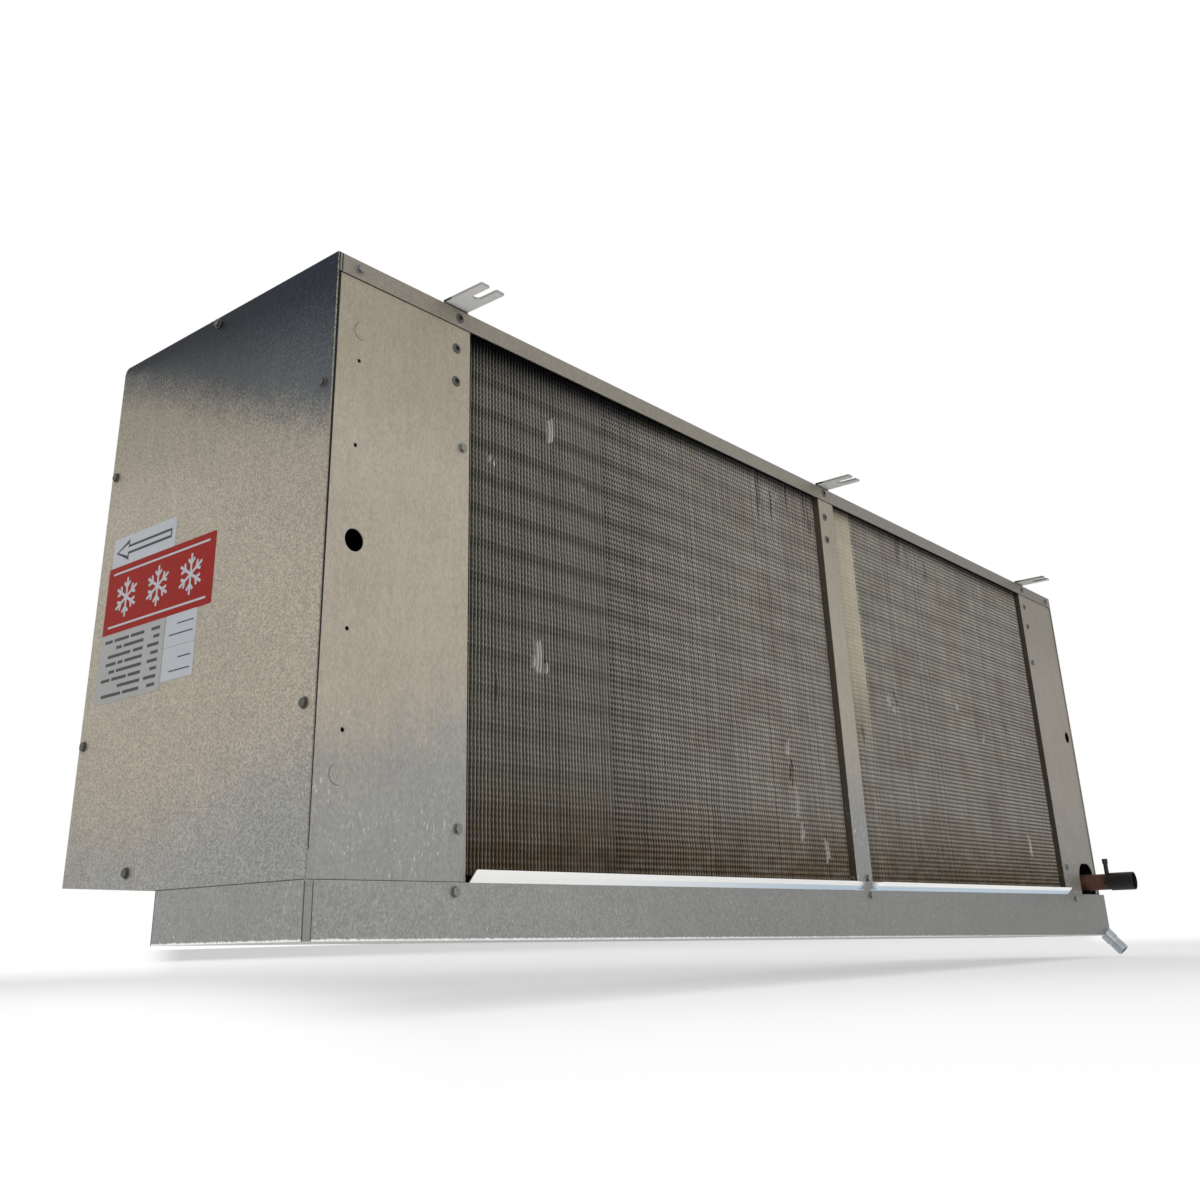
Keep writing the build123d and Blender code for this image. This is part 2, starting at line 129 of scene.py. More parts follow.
# Sizes and colours that a user would change
class SheetSettings(bpy.types.PropertyGroup):
    """Galvanised sheet of the cabinet, pan and hangers"""

    warm: colour("Warm Zinc", "Colour of the sheets at mid height", 166, 157, 142)
    dim: colour("Dim Zinc", "Colour of the sheets near the top", 151, 143, 126)
    cool: colour("Cool Zinc", "Colour of the sheets near the base", 147, 147, 144)
    flange: colour("Flange Zinc", "Colour of the top panel's flange", 131, 125, 113)
    pan: colour("Pan Zinc", "Colour of the drain pan", 145, 145, 143)
    # Painted bluish sky reflection at the foot of the pan's lip
    blue: colour("Bluish Foot", "Colour of the lip's lower edge", 200, 218, 232)
    # Painted reflection on faces that look down; also the pale flecks, edges that are partly worn and
    # partly a painted highlight, and the painted highlight on the pan's hem
    pale: colour("Pale Underside", "Colour of faces that look down", 253, 253, 251)
    # Painted dark reflection at the top of the plain end, also used for painted shade at the hangers'
    # folds; then the colour where that reflection fades out
    painted_dark: colour("Dark Film", "Colour of the dark film on the plain end", 14, 24, 37)
    reflection_fade: colour("Film Edge", "Colour where the dark film fades out", 68, 73, 76)
    # Painted shade in the open gap beside the plain end and under the flange
    seam: colour("Seam", "Colour of the open seams", 14, 12, 12)
    # Painted shade on the sheet inside the piped end
    hollow: colour("Inside", "Colour of the sheet inside the piped end", 40, 36, 33)
    # Also makes the folds that turn into the coil darker
    dirt: colour("Seam Dirt", "Colour of the dirt along the base and in the folds", 88, 80, 68)
    spangle: length("Spangle Size", "Width of one zinc crystal", 1.8)
    grain: length("Grain Size", "Width of the fine peel on the zinc", 1.7)
    # The pale edges are partly wear and partly a painted highlight
    edge: length("Worn Edge", "Width of the bright wear along folded edges", 0.8)
    bead: length("Seam Width", "Width of the dirty joints", 0.8)
    gap: length("Corner Gap", "Width of the open gap beside the plain end, at its top", 4.4)


class CoilSettings(bpy.types.PropertyGroup):
    """Fins, tubes and core of the coil"""

    pitch: length("Fin Pitch", "Distance from one fin to the next", 5.08)
    thickness: length("Fin Thickness", "Thickness of one fin", 0.5)
    depth: length("Fin Depth", "How far the open fins reach into the coil", 17)
    ripple: length("Ripple Pitch", "Height of one ripple on a fin's edge", 6.35)
    ripple_depth: length("Ripple Depth", "Sideways swing of a ripple", 1.0)
    calm_ripple: length("Calm Ripple Depth", "Sideways swing of a ripple at the plain end", 0.5)
    wave: length("Fin Wave", "Sideways swing of a fin from tube to tube", 0.8)
    calm_share: FloatProperty(
        name="Calm Share", description="Share of the bends at the plain end", default=0.25, min=0, max=1
    )
    tube_radius: length("Tube Radius", "Radius of the tubes behind the fins", 6.35)
    tube_pitch: length("Tube Pitch", "Height from one tube row to the next", 38.1)
    near: colour("Near Fins", "Fins at the plain end", 151, 147, 134)
    far: colour("Far Fins", "Fins past the middle", 180, 175, 165)
    soil: colour("Soiled Fins", "Fins near the pan", 122, 103, 78)
    # Painted highlight on the front edges of the fins
    glint: colour("Fin Edges", "Front edges of the fins", 192, 189, 180)
    # Pale strip beside the strut: a painted reflection
    glint_strip: colour("Faded Strip", "Pale strip of fins beside the strut", 216, 209, 190)
    # Bent fins: partly bare metal, partly a painted highlight
    bright: colour("Bent Fins", "Bare metal where fins are bent over", 236, 233, 226)
    rust: colour("Stained Fins", "Stained patches past the middle", 150, 128, 113)
    shade: colour("Shade", "Fins in the shade of the flange", 16, 20, 34)
    # A dark colour that stands in as painted shade for the depth of the coil
    core: colour("Core", "Depth of the coil between the fins", 34, 31, 28)


class FastenerSettings(bpy.types.PropertyGroup):
    """Screws and rivets"""

    washer_radius: length("Washer Radius", "Radius of a screw's washer", 5.6)
    washer_rise: length("Washer Thickness", "Thickness of a screw's washer", 1.0)
    hex_radius: length("Hex Radius", "Corner radius of a screw's head", 4.5)
    head_rise: length("Head Height", "Height of a screw's head", 2.8)
    rivet_radius: length("Rivet Radius", "Radius of a blind rivet's flange", 5.9)
    rivet_rise: length("Rivet Height", "Height of a blind rivet's dome", 1.7)
    zinc: colour("Plated Steel", "Colour of the plated heads", 120, 120, 116)
    dark: colour("Dark Steel", "Colour of the weathered heads", 84, 82, 77)
    # Painted shade in a rivet's hollow middle and round a screw's washer
    hole: colour("Rivet Hole", "Colour of a rivet's hollow middle", 22, 22, 24)


class LabelSettings(bpy.types.PropertyGroup):
    """Bare labels on the plain end"""

    rise: length("Label Thickness", "Thickness of a label", 0.3)
    corner: length("Label Corner", "Corner radius of a label", 1.5)
    ink_rise: length("Ink Thickness", "Thickness of what is printed", 0.1)
    white: colour("White Stock", "Colour of the pale labels", 180, 184, 190)
    silver: colour("Silver Stock", "Colour of the grey label", 166, 166, 165)
    red: colour("Red Stock", "Colour of the red label", 145, 22, 8)
    ink: colour("Dark Ink", "Colour of the arrow and rules", 40, 42, 46)


class PipeSettings(bpy.types.PropertyGroup):
    """Suction pipe, access valve and drain stub"""

    copper: colour("Copper", "Bare copper near the cabinet", 100, 66, 52)
    scorched: colour("Scorched Copper", "Burnt copper towards the open end", 22, 18, 18)
    brass: colour("Valve", "Colour of the access valve", 44, 38, 34)
    drain: colour("Drain Zinc", "Colour of the drain stub", 168, 173, 178)
    thread: length("Thread Pitch", "Pitch of the drain stub's thread", 1.8)
    thread_rise: length("Thread Height", "Height of the drain stub's thread", 0.5)
    braze: length("Braze Ring", "Radius of the brazed bead at the socket", 1.3)


class FanSettings(bpy.types.PropertyGroup):
    """Guards, blades and motors on the discharge side"""

    wire: length("Guard Wire", "Radius of the guard's wire", 1.9)
    ring_step: length("Ring Step", "Distance between the guard's rings", 24)
    rings: IntProperty(name="Guard Rings", description="Rings in one guard", default=9, min=2)
    spokes: IntProperty(name="Guard Spokes", description="Spokes in one guard", default=8, min=3)
    steel: colour("Guard Steel", "Colour of the plated guard", 150, 152, 153)
    blade: colour("Blade Aluminium", "Colour of the blades", 176, 178, 180)
    paint: colour("Motor Paint", "Colour of the motor shells", 46, 48, 52)


class StageSettings(bpy.types.PropertyGroup):
    """Camera, lamps and floor"""

    place: FloatVectorProperty(
        name="Camera Place",
        description="Where the camera stands",
        default=(-1.6003, -0.8406, -0.6455),
        subtype="TRANSLATION",
    )
    heading: FloatProperty(name="Heading", description="Degrees from ahead to the piped end", default=50.16)
    climb: FloatProperty(name="Climb", description="Degrees above the horizon", default=21.39)
    roll: FloatProperty(name="Roll", description="Degrees that the camera leans", default=1.59)
    lens: FloatProperty(name="Lens", description="Focal length in millimetres", default=36.14)
    across: FloatProperty(name="Shift Across", description="Sideways shift of the view", default=0.0165)
    up: FloatProperty(name="Shift Up", description="Upward shift of the view", default=-0.1134)
    floor_gap: length("Floor Gap", "Height of the unit above the floor", 4)
    floor: colour("Floor", "Colour of the floor", 250, 250, 250)


GROUPS = {
    "evaporator_sheet": SheetSettings,
    "evaporator_coil": CoilSettings,
    "evaporator_fastener": FastenerSettings,
    "evaporator_label": LabelSettings,
    "evaporator_pipe": PipeSettings,
    "evaporator_fan": FanSettings,
    "evaporator_stage": StageSettings,
}


# Small tools for modelling
def deselect_all():
    """Leave nothing selected, so that an operator acts only on what is picked next."""
    bpy.ops.object.select_all(action="DESELECT")


def take(piece):
    """Make a piece the only one selected, and the active one."""
    deselect_all()
    piece.select_set(True)
    bpy.context.view_layer.objects.active = piece


def open_edit(piece):
    """Go into edit mode on one piece, with nothing in it selected."""
    take(piece)
    bpy.ops.object.mode_set(mode="EDIT")
    bpy.ops.mesh.select_mode(type="FACE")
    bpy.ops.mesh.select_all(action="DESELECT")


def close_edit():
    """Go back to object mode."""
    bpy.ops.object.mode_set(mode="OBJECT")


def pick(piece, wanted, kind="FACE"):
    """In edit mode, select just the faces, or edges, that are wanted."""
    bpy.ops.mesh.select_mode(type=kind)
    bpy.ops.mesh.select_all(action="DESELECT")
    shape = bmesh.from_edit_mesh(piece.data)
    for element in shape.faces if kind == "FACE" else shape.edges:
        element.select_set(wanted(element))
    bmesh.update_edit_mesh(piece.data)


def tell_apart(piece, second):
    """In edit mode, give some faces the piece's second material, by their centres."""
    shape = bmesh.from_edit_mesh(piece.data)
    for face in shape.faces:
        face.material_index = int(second(face.calc_center_median()))
    bmesh.update_edit_mesh(piece.data)


def apply_place():
    """Put the active piece's place, turn and size in its mesh."""
    bpy.ops.object.transform_apply(location=True, rotation=True, scale=True)


def subdivide(piece, cuts):
    """Cut every face of a piece into a grid."""
    open_edit(piece)
    bpy.ops.mesh.select_all(action="SELECT")
    bpy.ops.mesh.subdivide(number_cuts=cuts)
    close_edit()


def block(low, high):
    """A box between two corners, as the start of a piece."""
    deselect_all()
    bpy.ops.mesh.primitive_cube_add(size=1, location=(low + high) / 2)
    piece = bpy.context.object
    piece.scale = high - low
    apply_place()
    return piece


def join(pieces):
    """Join several pieces into the first of them."""
    deselect_all()
    for piece in pieces:
        piece.select_set(True)
    bpy.context.view_layer.objects.active = pieces[0]
    if len(pieces) > 1:
        bpy.ops.object.join()
    return pieces[0]


def face_turn(outward, turn=0):
    """A turn that points a shape's up axis outward."""
    return outward.to_track_quat("Z", "Y").to_matrix().to_4x4() @ Matrix.Rotation(turn, 4, "Z")


def spread(master, places, turn=COPY_TURN):
    """Copy a shape to each place and outward direction, each copy with its own mesh, and join them."""
    copies = []
    for index, (point, outward) in enumerate(places):
        copy = master.copy()
        copy.data = master.data.copy()
        bpy.context.collection.objects.link(copy)
        copy.matrix_world = Matrix.Translation(point) @ face_turn(outward, index * turn)
        copies.append(copy)
    bpy.data.objects.remove(master)
    return join(copies)


def apply_modifier(piece, name):
    """Make a modifier's result the piece's own mesh."""
    take(piece)
    bpy.ops.object.modifier_apply(modifier=name)


def repeat(piece, count, step, merge=False):
    """Repeat a shape in a row."""
    row = piece.modifiers.new("row", "ARRAY")
    row.use_relative_offset = False
    row.use_constant_offset = True
    row.constant_offset_displace = step
    row.count = count
    row.use_merge_vertices = merge
    row.merge_threshold = MM / 100
    apply_modifier(piece, "row")


def round_edges(piece, width, segments=2):
    """Round a piece's sharp edges."""
    rounding = piece.modifiers.new("rounding", "BEVEL")
    rounding.width = width
    rounding.segments = segments
    rounding.limit_method = "ANGLE"
    apply_modifier(piece, "rounding")


def coat(piece, *finishes):
    """Give a piece its materials."""
    piece.data.materials.clear()
    for finish in finishes:
        piece.data.materials.append(finish)
    return piece


def settle(piece, name, replaced=()):
    """Put a finished piece's place in its mesh, and give it its name and body."""
    take(piece)
    apply_place()
    piece.name = name
    piece.data.name = name
    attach(piece, "root")
    if replaced:
        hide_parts(*replaced)
    return piece


def dress(node, finish):
    """Give a frame node its material."""
    coat(frame["nodes"][node], finish)


# Small tools for materials
WHITE = (1, 1, 1, 1)
# A pattern that isn't stretched
EVEN = (1, 1, 1)
NOISE_MIDDLE = 0.5
# How well a softened normal matches the true one away from an edge, and on it
FLAT_MATCH = 0.995
EDGE_MATCH = 0.86
MOTTLE_SIZE = 3 * MM
MOTTLE_RELIEF = 0.05 * MM


class Nodes:
    """One node tree, and short calls that add its nodes."""

    def __init__(self, owner):
        owner.use_nodes = True
        self.tree = owner.node_tree
        self.tree.nodes.clear()

    def add(self, kind, inputs=None, **options):
        """Add a node, set it and feed its sockets."""
        node = self.tree.nodes.new(kind)
        for name, value in options.items():
            setattr(node, name, value)
        for key, value in (inputs or {}).items():
            self.feed(node.inputs[key], value)
        return node

    def feed(self, socket, value):
        """Link a socket to a value from another node, or set it."""
        if isinstance(value, bpy.types.NodeSocket):
            self.tree.links.new(value, socket)
        else:
            socket.default_value = value

    def math(self, operation, *values):
        """One sum."""
        return self.add("ShaderNodeMath", dict(enumerate(values)), operation=operation).outputs[0]

    def times(self, first, *others):
        """The product of several values."""
        for value in others:
            first = self.math("MULTIPLY", first, value)
        return first

    def most(self, first, *others):
        """The greatest of several values."""
        for value in others:
            first = self.math("MAXIMUM", first, value)
        return first

    def less(self, value, amount):
        """A value less an amount."""
        return self.math("SUBTRACT", value, amount)

    def scaled(self, value, scale, start):
        """A value times a scale, added to a start."""
        return self.math("MULTIPLY_ADD", value, scale, start)

    def apart(self, value, centre):
        """How far a value is from a centre."""
        return self.math("ABSOLUTE", self.less(value, centre))

    def cycle(self, value, pitch, start=0):
        """Where a value stands in its cycle, from 0 to 1."""
        return self.math("FRACT", self.math("DIVIDE", self.less(value, start), pitch))

    def fade(self, value, start, end, low=0, high=1):
        """Run smoothly from low to high as the value goes from start to end."""
        inputs = {"Value": value, "From Min": start, "From Max": end, "To Min": low, "To Max": high}
        return self.add("ShaderNodeMapRange", inputs, interpolation_type="SMOOTHSTEP").outputs[0]

    def near(self, value, centre, inner, outer):
        """A mask that is 1 within the inner distance of a centre and 0 beyond the outer one."""
        return self.fade(self.apart(value, centre), outer, inner)


class Finish(Nodes):
    """One material, read by place and by the way that its faces look."""

    def __init__(self, name):
        self.material = bpy.data.materials.new(name)
        super().__init__(self.material)
        self.place = self.add("ShaderNodeTexCoord").outputs["Object"]
        self.x, self.y, self.z = self.split(self.place)
        self.facing = self.add("ShaderNodeNewGeometry").outputs["True Normal"]
        self.facing_x, self.facing_y, self.facing_z = self.split(self.facing)

    def split(self, vector):
        """A vector's three parts."""
        return self.add("ShaderNodeSeparateXYZ", {"Vector": vector}).outputs

    def spots(self, size, stretch):
        """Where a pattern of one size reads the place."""
        spot = self.add("ShaderNodeMapping", {"Vector": self.place, "Scale": stretch}).outputs[0]
        return {"Vector": spot, "Scale": 1 / size}

    def grain(self, size, detail=2, stretch=EVEN):
        """Soft noise from 0 to 1 with features of one size."""
        return self.add("ShaderNodeTexNoise", self.spots(size, stretch) | {"Detail": detail}).outputs[0]

    def cells(self, size, stretch=EVEN):
        """A random value for each crystal-like cell."""
        tint = self.add("ShaderNodeTexVoronoi", self.spots(size, stretch), feature="F1").outputs["Color"]
        return self.add("ShaderNodeSeparateColor", {"Color": tint}).outputs[0]

    def ragged(self, value, size, reach, detail=3, stretch=EVEN):
        """Push a value to and fro by soft noise of one size."""
        return self.scaled(self.less(self.grain(size, detail, stretch), NOISE_MIDDLE), reach, value)

    def mix(self, share, first, second):
        """Blend two colours."""
        node = self.add("ShaderNodeMix", {"Factor": share}, data_type="RGBA")
        for socket, value in ((node.inputs[6], first), (node.inputs[7], second)):
            self.feed(socket, solid(value))
        return node.outputs[2]

    def brighten(self, tint, amount):
        """Scale a colour by a number near one."""
        return self.add("ShaderNodeVectorMath", {0: tint, "Scale": amount}, operation="SCALE").outputs[0]

    def swing(self, *pairs):
        """One plus each noise's swing about its middle, for brighten()."""
        total = 1
        for value, amount in pairs:
            total = self.math("ADD", total, self.scaled(value, amount, -amount / 2))
        return total

    def bump(self, height, depth, normal=None):
        """Relief from a height value."""
        inputs = {"Height": height, "Distance": depth, "Strength": 1}
        if normal:
            inputs["Normal"] = normal
        return self.add("ShaderNodeBump", inputs).outputs[0]

    def soft_edge(self, width):
        """A normal that rounds sharp edges, and a mask that is 1 along them."""
        soft = self.add("ShaderNodeBevel", {"Radius": width}, samples=4).outputs[0]
        match = self.add("ShaderNodeVectorMath", {0: soft, 1: self.facing}, operation="DOT_PRODUCT")
        return soft, self.fade(match.outputs["Value"], FLAT_MATCH, EDGE_MATCH)

    def looks_back(self, side, low=0, high=1):
        """Run from low to high as a face turns to look down the side's axis."""
        return self.fade(side, -0.5, -0.9, low, high)

    def downward(self):
        """A mask that is 1 on faces that look down."""
        return self.fade(self.facing_z, -0.25, -0.6)

    def surface(self, base, metallic, roughness, normal=None, shine=0.5):
        """Close the material with its shader."""
        inputs = {"Metallic": metallic, "Roughness": roughness, "Specular IOR Level": shine}
        inputs["Base Color"] = solid(base)
        if normal:
            inputs["Normal"] = normal
        shader = self.add("ShaderNodeBsdfPrincipled", inputs)
        self.add("ShaderNodeOutputMaterial", {"Surface": shader.outputs[0]})
        return self.material


def solid(value):
    """A colour with its fourth value, where it doesn't come from a node."""
    return value if isinstance(value, bpy.types.NodeSocket) else (*value, 1)


def settings(name):
    """The user's values of one kind."""
    return getattr(bpy.context.scene, "evaporator_" + name)


# Finishes of the sheet metal
# Stretches of a pattern: drawn out along the height, or into runs down it
UPRIGHT = (1, 1, 0.45)
RUNS = (1, 1, 0.12)
# The cool foot: its height at the front, at the rear and its climb, as shares of the cabinet's height
FOOT_FRONT_SHARE = 0.17
FOOT_REAR_SHARE = 0.08
FOOT_CLIMB_SHARE = 0.08
FOOT_REACH = 62 * MM
FOOT_DIP = 66 * MM
# Widths of the sheets' noises, and how far those that fray an edge push it
PATCH_SIZE = 30 * MM
PATCH_PUSH = 80 * MM
SPECK_SIZE = 3 * MM
SPECK_PUSH = 160 * MM
CLOUD_SIZE = 80 * MM
STREAK_SIZE = 8 * MM
FLECK_SIZE = 4 * MM
FLECK_PATCH = 60 * MM
REFLECTION_PUSH = 34 * MM
REFLECTION_SPECK_SIZE = 2.4 * MM
REFLECTION_SPECK_PUSH = 90 * MM
HEM_SIZE = 4 * MM
HEM_PUSH = 3 * MM
# How strongly the spangle, the peel and the patches show on each sheet
PANEL_SWINGS = (0.16, 0.4, 0.05)
FLANGE_SWINGS = (0.16, 0.5, 0.06)
END_SWINGS = (0.5, 0.95, 0)
PAN_SWINGS = (0.26, 0.7, 0.06)
HANGER_SWINGS = (0.08, 0.3, 0.02)
CLOUD_SWING = 0.16
# Where the darker folds end beside the piped end's front panel
FOLD_START = 20 * MM
FOLD_END = 10 * MM
# How the light falls off from the plain end to the piped one
NEAR_LIGHT_SHARE = 1.09
FAR_LIGHT_SHARE = 0.66
ZINC_METALLIC = 0.4
ZINC_ROUGHNESS = 0.36
ZINC_RELIEF = 0.12 * MM
# The painted dark reflection of the sky on the plain end: its lower edge's slope, its height as a share of
# the cabinet's, and where it and the dimmer sheet below it, the reflection's painted soft tail, start and
# end, measured up from that edge
REFLECTION_SLOPE = 0.395
REFLECTION_SHARE = 0.285
REFLECTION_START = -46 * MM
REFLECTION_END = 20 * MM
REFLECTION_LEAST = 5 * MM
REFLECTION_NEAR_Y = 20 * MM
REFLECTION_FAR_Y = 240 * MM
DIM_START = -170 * MM
DIM_END = -20 * MM
# The pan's painted bluish sky reflection at the foot of its lip, and the painted highlight along its lower
# hem
SKY_REFLECTION_LEVEL = 1.5 * MM
SKY_REFLECTION_INNER = 3 * MM
SKY_REFLECTION_OUTER = 5 * MM
SKY_REFLECTION_START = 60 * MM
HEM_INNER = 0.8 * MM
HEM_OUTER = 2.2 * MM
# How far under the cabinet's base undersides lose their full painted reflection, so that only the lip keeps
# it
LIP_DROP = 5 * MM
# Half the width of the painted shade at the fold where a hanger meets the cabinet, and where that shade
# ends
FOLD_INNER = 5 * MM
FOLD_OUTER = 8 * MM


def zinc_tone(finish):
    """The sheets' colour by height and length: warm, with a cool foot that climbs along the front."""
    sheet = settings("sheet")
    height = finish.fade(finish.z, CABINET_BASE, CABINET_TOP)
    front = finish.fade(finish.y, CABINET_FRONT, 0.75 * CABINET_REAR, FOOT_FRONT_SHARE, FOOT_REAR_SHARE)
    climb = finish.fade(finish.x, CABINET_LEFT, LEFT_HIGH.x, 0, FOOT_CLIMB_SHARE)
    foot = finish.scaled(finish.math("ADD", front, climb), CABINET_HEIGHT, CABINET_BASE)
    above = finish.ragged(finish.less(finish.z, foot), PATCH_SIZE, PATCH_PUSH)
    above = finish.ragged(above, SPECK_SIZE, SPECK_PUSH, 2)
    cool = finish.fade(above, FOOT_REACH, -FOOT_DIP)
    cool = finish.times(cool, finish.fade(finish.x, STRUT_LOW.x, CABINET_RIGHT, 1, 0.5))
    low = finish.mix(cool, sheet.warm, sheet.cool)
    return finish.mix(finish.fade(height, 0.72, 1), low, sheet.dim)


def zinc_flecks(finish, amount):
    """A mask of pale flecks, in patches that thicken towards the base."""
    fleck = finish.fade(finish.grain(FLECK_SIZE, 4, (1.6, 1, 0.7)), 0.6, 0.72)
    patch = finish.fade(finish.grain(FLECK_PATCH, 2), 0.4, 0.6)
    low = finish.fade(finish.z, CABINET_TOP - CABINET_HEIGHT / 2, CABINET_BASE)
    return finish.times(fleck, patch, low, amount)


def zinc_surface(
    finish,
    tone,
    swings,
    stretch=EVEN,
    metallic=ZINC_METALLIC,
    flecks=0,
    contrast=1,
    wear_and_highlight=0.3,
    below=None,
    underside_reflection=0.2,
    mirror=1,
):
    """Spangle, peel, streaks, flecks and edges that are partly worn and partly a painted highlight, over a
    tone, with a painted reflection that makes faces that look down paler, closed as a material.
    """
    sheet = settings("sheet")
    spangle_swing, peel_swing, patch_swing = swings
    spangle = finish.cells(sheet.spangle, stretch)
    patch = finish.cells(3.4 * sheet.spangle, stretch)
    peel = finish.grain(sheet.grain, 2, stretch)
    cloud = finish.grain(CLOUD_SIZE, 3)
    streak = finish.grain(STREAK_SIZE, 3, RUNS)
    light = finish.swing(
        (spangle, spangle_swing),
        (patch, patch_swing),
        (peel, peel_swing),
        (cloud, CLOUD_SWING),
        (streak, CLOUD_SWING),
    )
    light = finish.scaled(finish.less(light, 1), contrast, 1)
    far_dim = finish.fade(finish.x, CABINET_LEFT, CABINET_RIGHT, NEAR_LIGHT_SHARE, FAR_LIGHT_SHARE)
    tint = finish.brighten(tone, finish.times(light, far_dim))
    if flecks:
        tint = finish.mix(zinc_flecks(finish, flecks), tint, sheet.pale)
    soft, edge = finish.soft_edge(sheet.edge)
    # Pale along sharp edges: partly wear, partly a painted highlight
    tint = finish.mix(finish.times(edge, wear_and_highlight), tint, sheet.pale)
    # Faces that look down are painted pale as a painted reflection, and take the mirror's metallic
    down = finish.times(finish.downward(), underside_reflection)
    tint = finish.mix(down, tint, below or sheet.pale)
    metallic = finish.scaled(down, finish.less(mirror, metallic), metallic)
    normal = finish.bump(finish.scaled(spangle, 0.4, peel), ZINC_RELIEF, soft)
    return finish.surface(tint, metallic, finish.scaled(peel, 0.2, ZINC_ROUGHNESS), normal)


def galvanised():
    """Galvanised sheet of the front, darker on the folds that turn into the coil, with painted shade on the
    faces inside the piped end.
    """
    sheet = settings("sheet")
    finish = Finish("galvanised_sheet")
    fold = finish.times(
        finish.fade(finish.math("ABSOLUTE", finish.facing_x), 0.5, 0.9),
        finish.fade(finish.y, COIL_LOW.y + MM, COIL_LOW.y),
        finish.fade(finish.x, RIGHT_LOW.x + FOLD_START, RIGHT_LOW.x + FOLD_END),
    )
    # Painted shade on the faces inside the piped end
    inside = finish.times(
        finish.looks_back(finish.facing_x),
        finish.fade(finish.x, RIGHT_LOW.x, RIGHT_HIGH.x),
        finish.fade(finish.y, LEFT_LOW.y, LEFT_LOW.y + 3 * SHEET),
    )
    tone = finish.mix(fold, zinc_tone(finish), sheet.dirt)
    tone = finish.mix(inside, tone, sheet.hollow)
    return zinc_surface(finish, tone, PANEL_SWINGS, UPRIGHT, flecks=0.45)


def flange_sheet():
    """Darker sheet of the top panel."""
    finish = Finish("top_sheet")
    return zinc_surface(finish, settings("sheet").flange, FLANGE_SWINGS, (1, 1, 0.6))


def reflection_end():
    """Galvanised sheet with a painted dark reflection of the sky at the top of the plain end, bare on its
    cut edge.
    """
    sheet = settings("sheet")
    finish = Finish("filmed_end_sheet")
    line = finish.scaled(finish.y, REFLECTION_SLOPE, CABINET_TOP - REFLECTION_SHARE * CABINET_HEIGHT)
    above = finish.less(finish.z, line)
    frayed = finish.ragged(above, PATCH_SIZE, REFLECTION_PUSH, 4)
    frayed = finish.ragged(frayed, REFLECTION_SPECK_SIZE, REFLECTION_SPECK_PUSH)
    # The painted dark reflection, frayed along its lower edge, over a sheet dimmed below it as the
    # reflection's soft tail
    reflection = finish.fade(frayed, REFLECTION_START, REFLECTION_END)
    span = finish.most(finish.less(CABINET_TOP, line), REFLECTION_LEAST)
    depth = finish.fade(finish.math("DIVIDE", finish.less(CABINET_TOP, finish.z), span), 1, 0.05)
    reflection_tone = finish.mix(depth, sheet.reflection_fade, sheet.painted_dark)
    reflection_tone = finish.brighten(reflection_tone, finish.fade(finish.y, REFLECTION_NEAR_Y, REFLECTION_FAR_Y, 1.15, 0.6))
    dimmed = finish.brighten(zinc_tone(finish), finish.fade(above, DIM_START, DIM_END, 0.95, 0.78))
    tone = finish.mix(reflection, dimmed, reflection_tone)
    tone = finish.mix(finish.looks_back(finish.facing_y), tone, sheet.flange)
    mirror = finish.times(reflection, depth)
    metallic = finish.scaled(mirror, 0.5, ZINC_METALLIC)
    contrast = finish.scaled(mirror, 2.2, 1)
    return zinc_surface(finish, tone, END_SWINGS, EVEN, metallic, contrast=contrast, wear_and_highlight=0.06)


def pan_sheet():
    """Cooler sheet of the drain pan, with a painted bluish sky reflection at the foot of its lip, a painted
    highlight along its lower hem, and painted shade on faces that look towards the plain end.
    """
    sheet = settings("sheet")
    finish = Finish("pan_sheet")
    # Painted bluish sky reflection at the foot of the lip
    blue = finish.near(finish.z, CABINET_BASE + SKY_REFLECTION_LEVEL, SKY_REFLECTION_INNER, SKY_REFLECTION_OUTER)
    blue = finish.times(blue, finish.fade(finish.x, LEFT_HIGH.x + SKY_REFLECTION_START, STRUT_LOW.x))
    below = finish.mix(blue, sheet.pale, sheet.blue)
    # Painted highlight along the lower hem
    slope = (PAN_LOW.z - PAN_LEFT_FOOT) / (PAN_HIGH.x - CABINET_LEFT)
    foot_line = finish.scaled(finish.less(finish.x, CABINET_LEFT), slope, PAN_LEFT_FOOT)
    rise = finish.ragged(finish.less(finish.z, foot_line), HEM_SIZE, HEM_PUSH)
    hem = finish.fade(rise, HEM_OUTER, HEM_INNER, 0, 0.9)
    hem = finish.times(hem, finish.fade(finish.facing_z, -0.6, -0.25))
    tone = finish.brighten(sheet.pan, finish.fade(finish.x, CABINET_LEFT, STRUT_LOW.x, 1.03, 0.89))
    # Faces that look towards the plain end are darkened with painted shade
    tone = finish.brighten(tone, finish.looks_back(finish.facing_x, 1, 0.92))
    tone = finish.mix(hem, tone, sheet.pale)
    underside_reflection = finish.fade(finish.z, CABINET_BASE - LIP_DROP, CABINET_BASE - 0.4 * LIP_DROP, 0.15, 1)
    return zinc_surface(finish, tone, PAN_SWINGS, (1, 1, 0.7), flecks=0.35, below=below, underside_reflection=underside_reflection)


def hanger_sheet():
    """Thick plated steel of the hangers, with painted shade at the fold and a painted reflection that makes
    its underside pale.
    """
    sheet = settings("sheet")
    finish = Finish("hanger_plate")
    front_fold_shade = finish.near(finish.y, CABINET_FRONT, FOLD_INNER, FOLD_OUTER)
    rear_fold_shade = finish.near(finish.y, CABINET_REAR, FOLD_INNER, FOLD_OUTER)
    # Painted shade at the folds where the hangers meet the cabinet
    tone = finish.mix(finish.most(front_fold_shade, rear_fold_shade), sheet.cool, sheet.painted_dark)
    return zinc_surface(finish, tone, HANGER_SWINGS, underside_reflection=1, mirror=0)


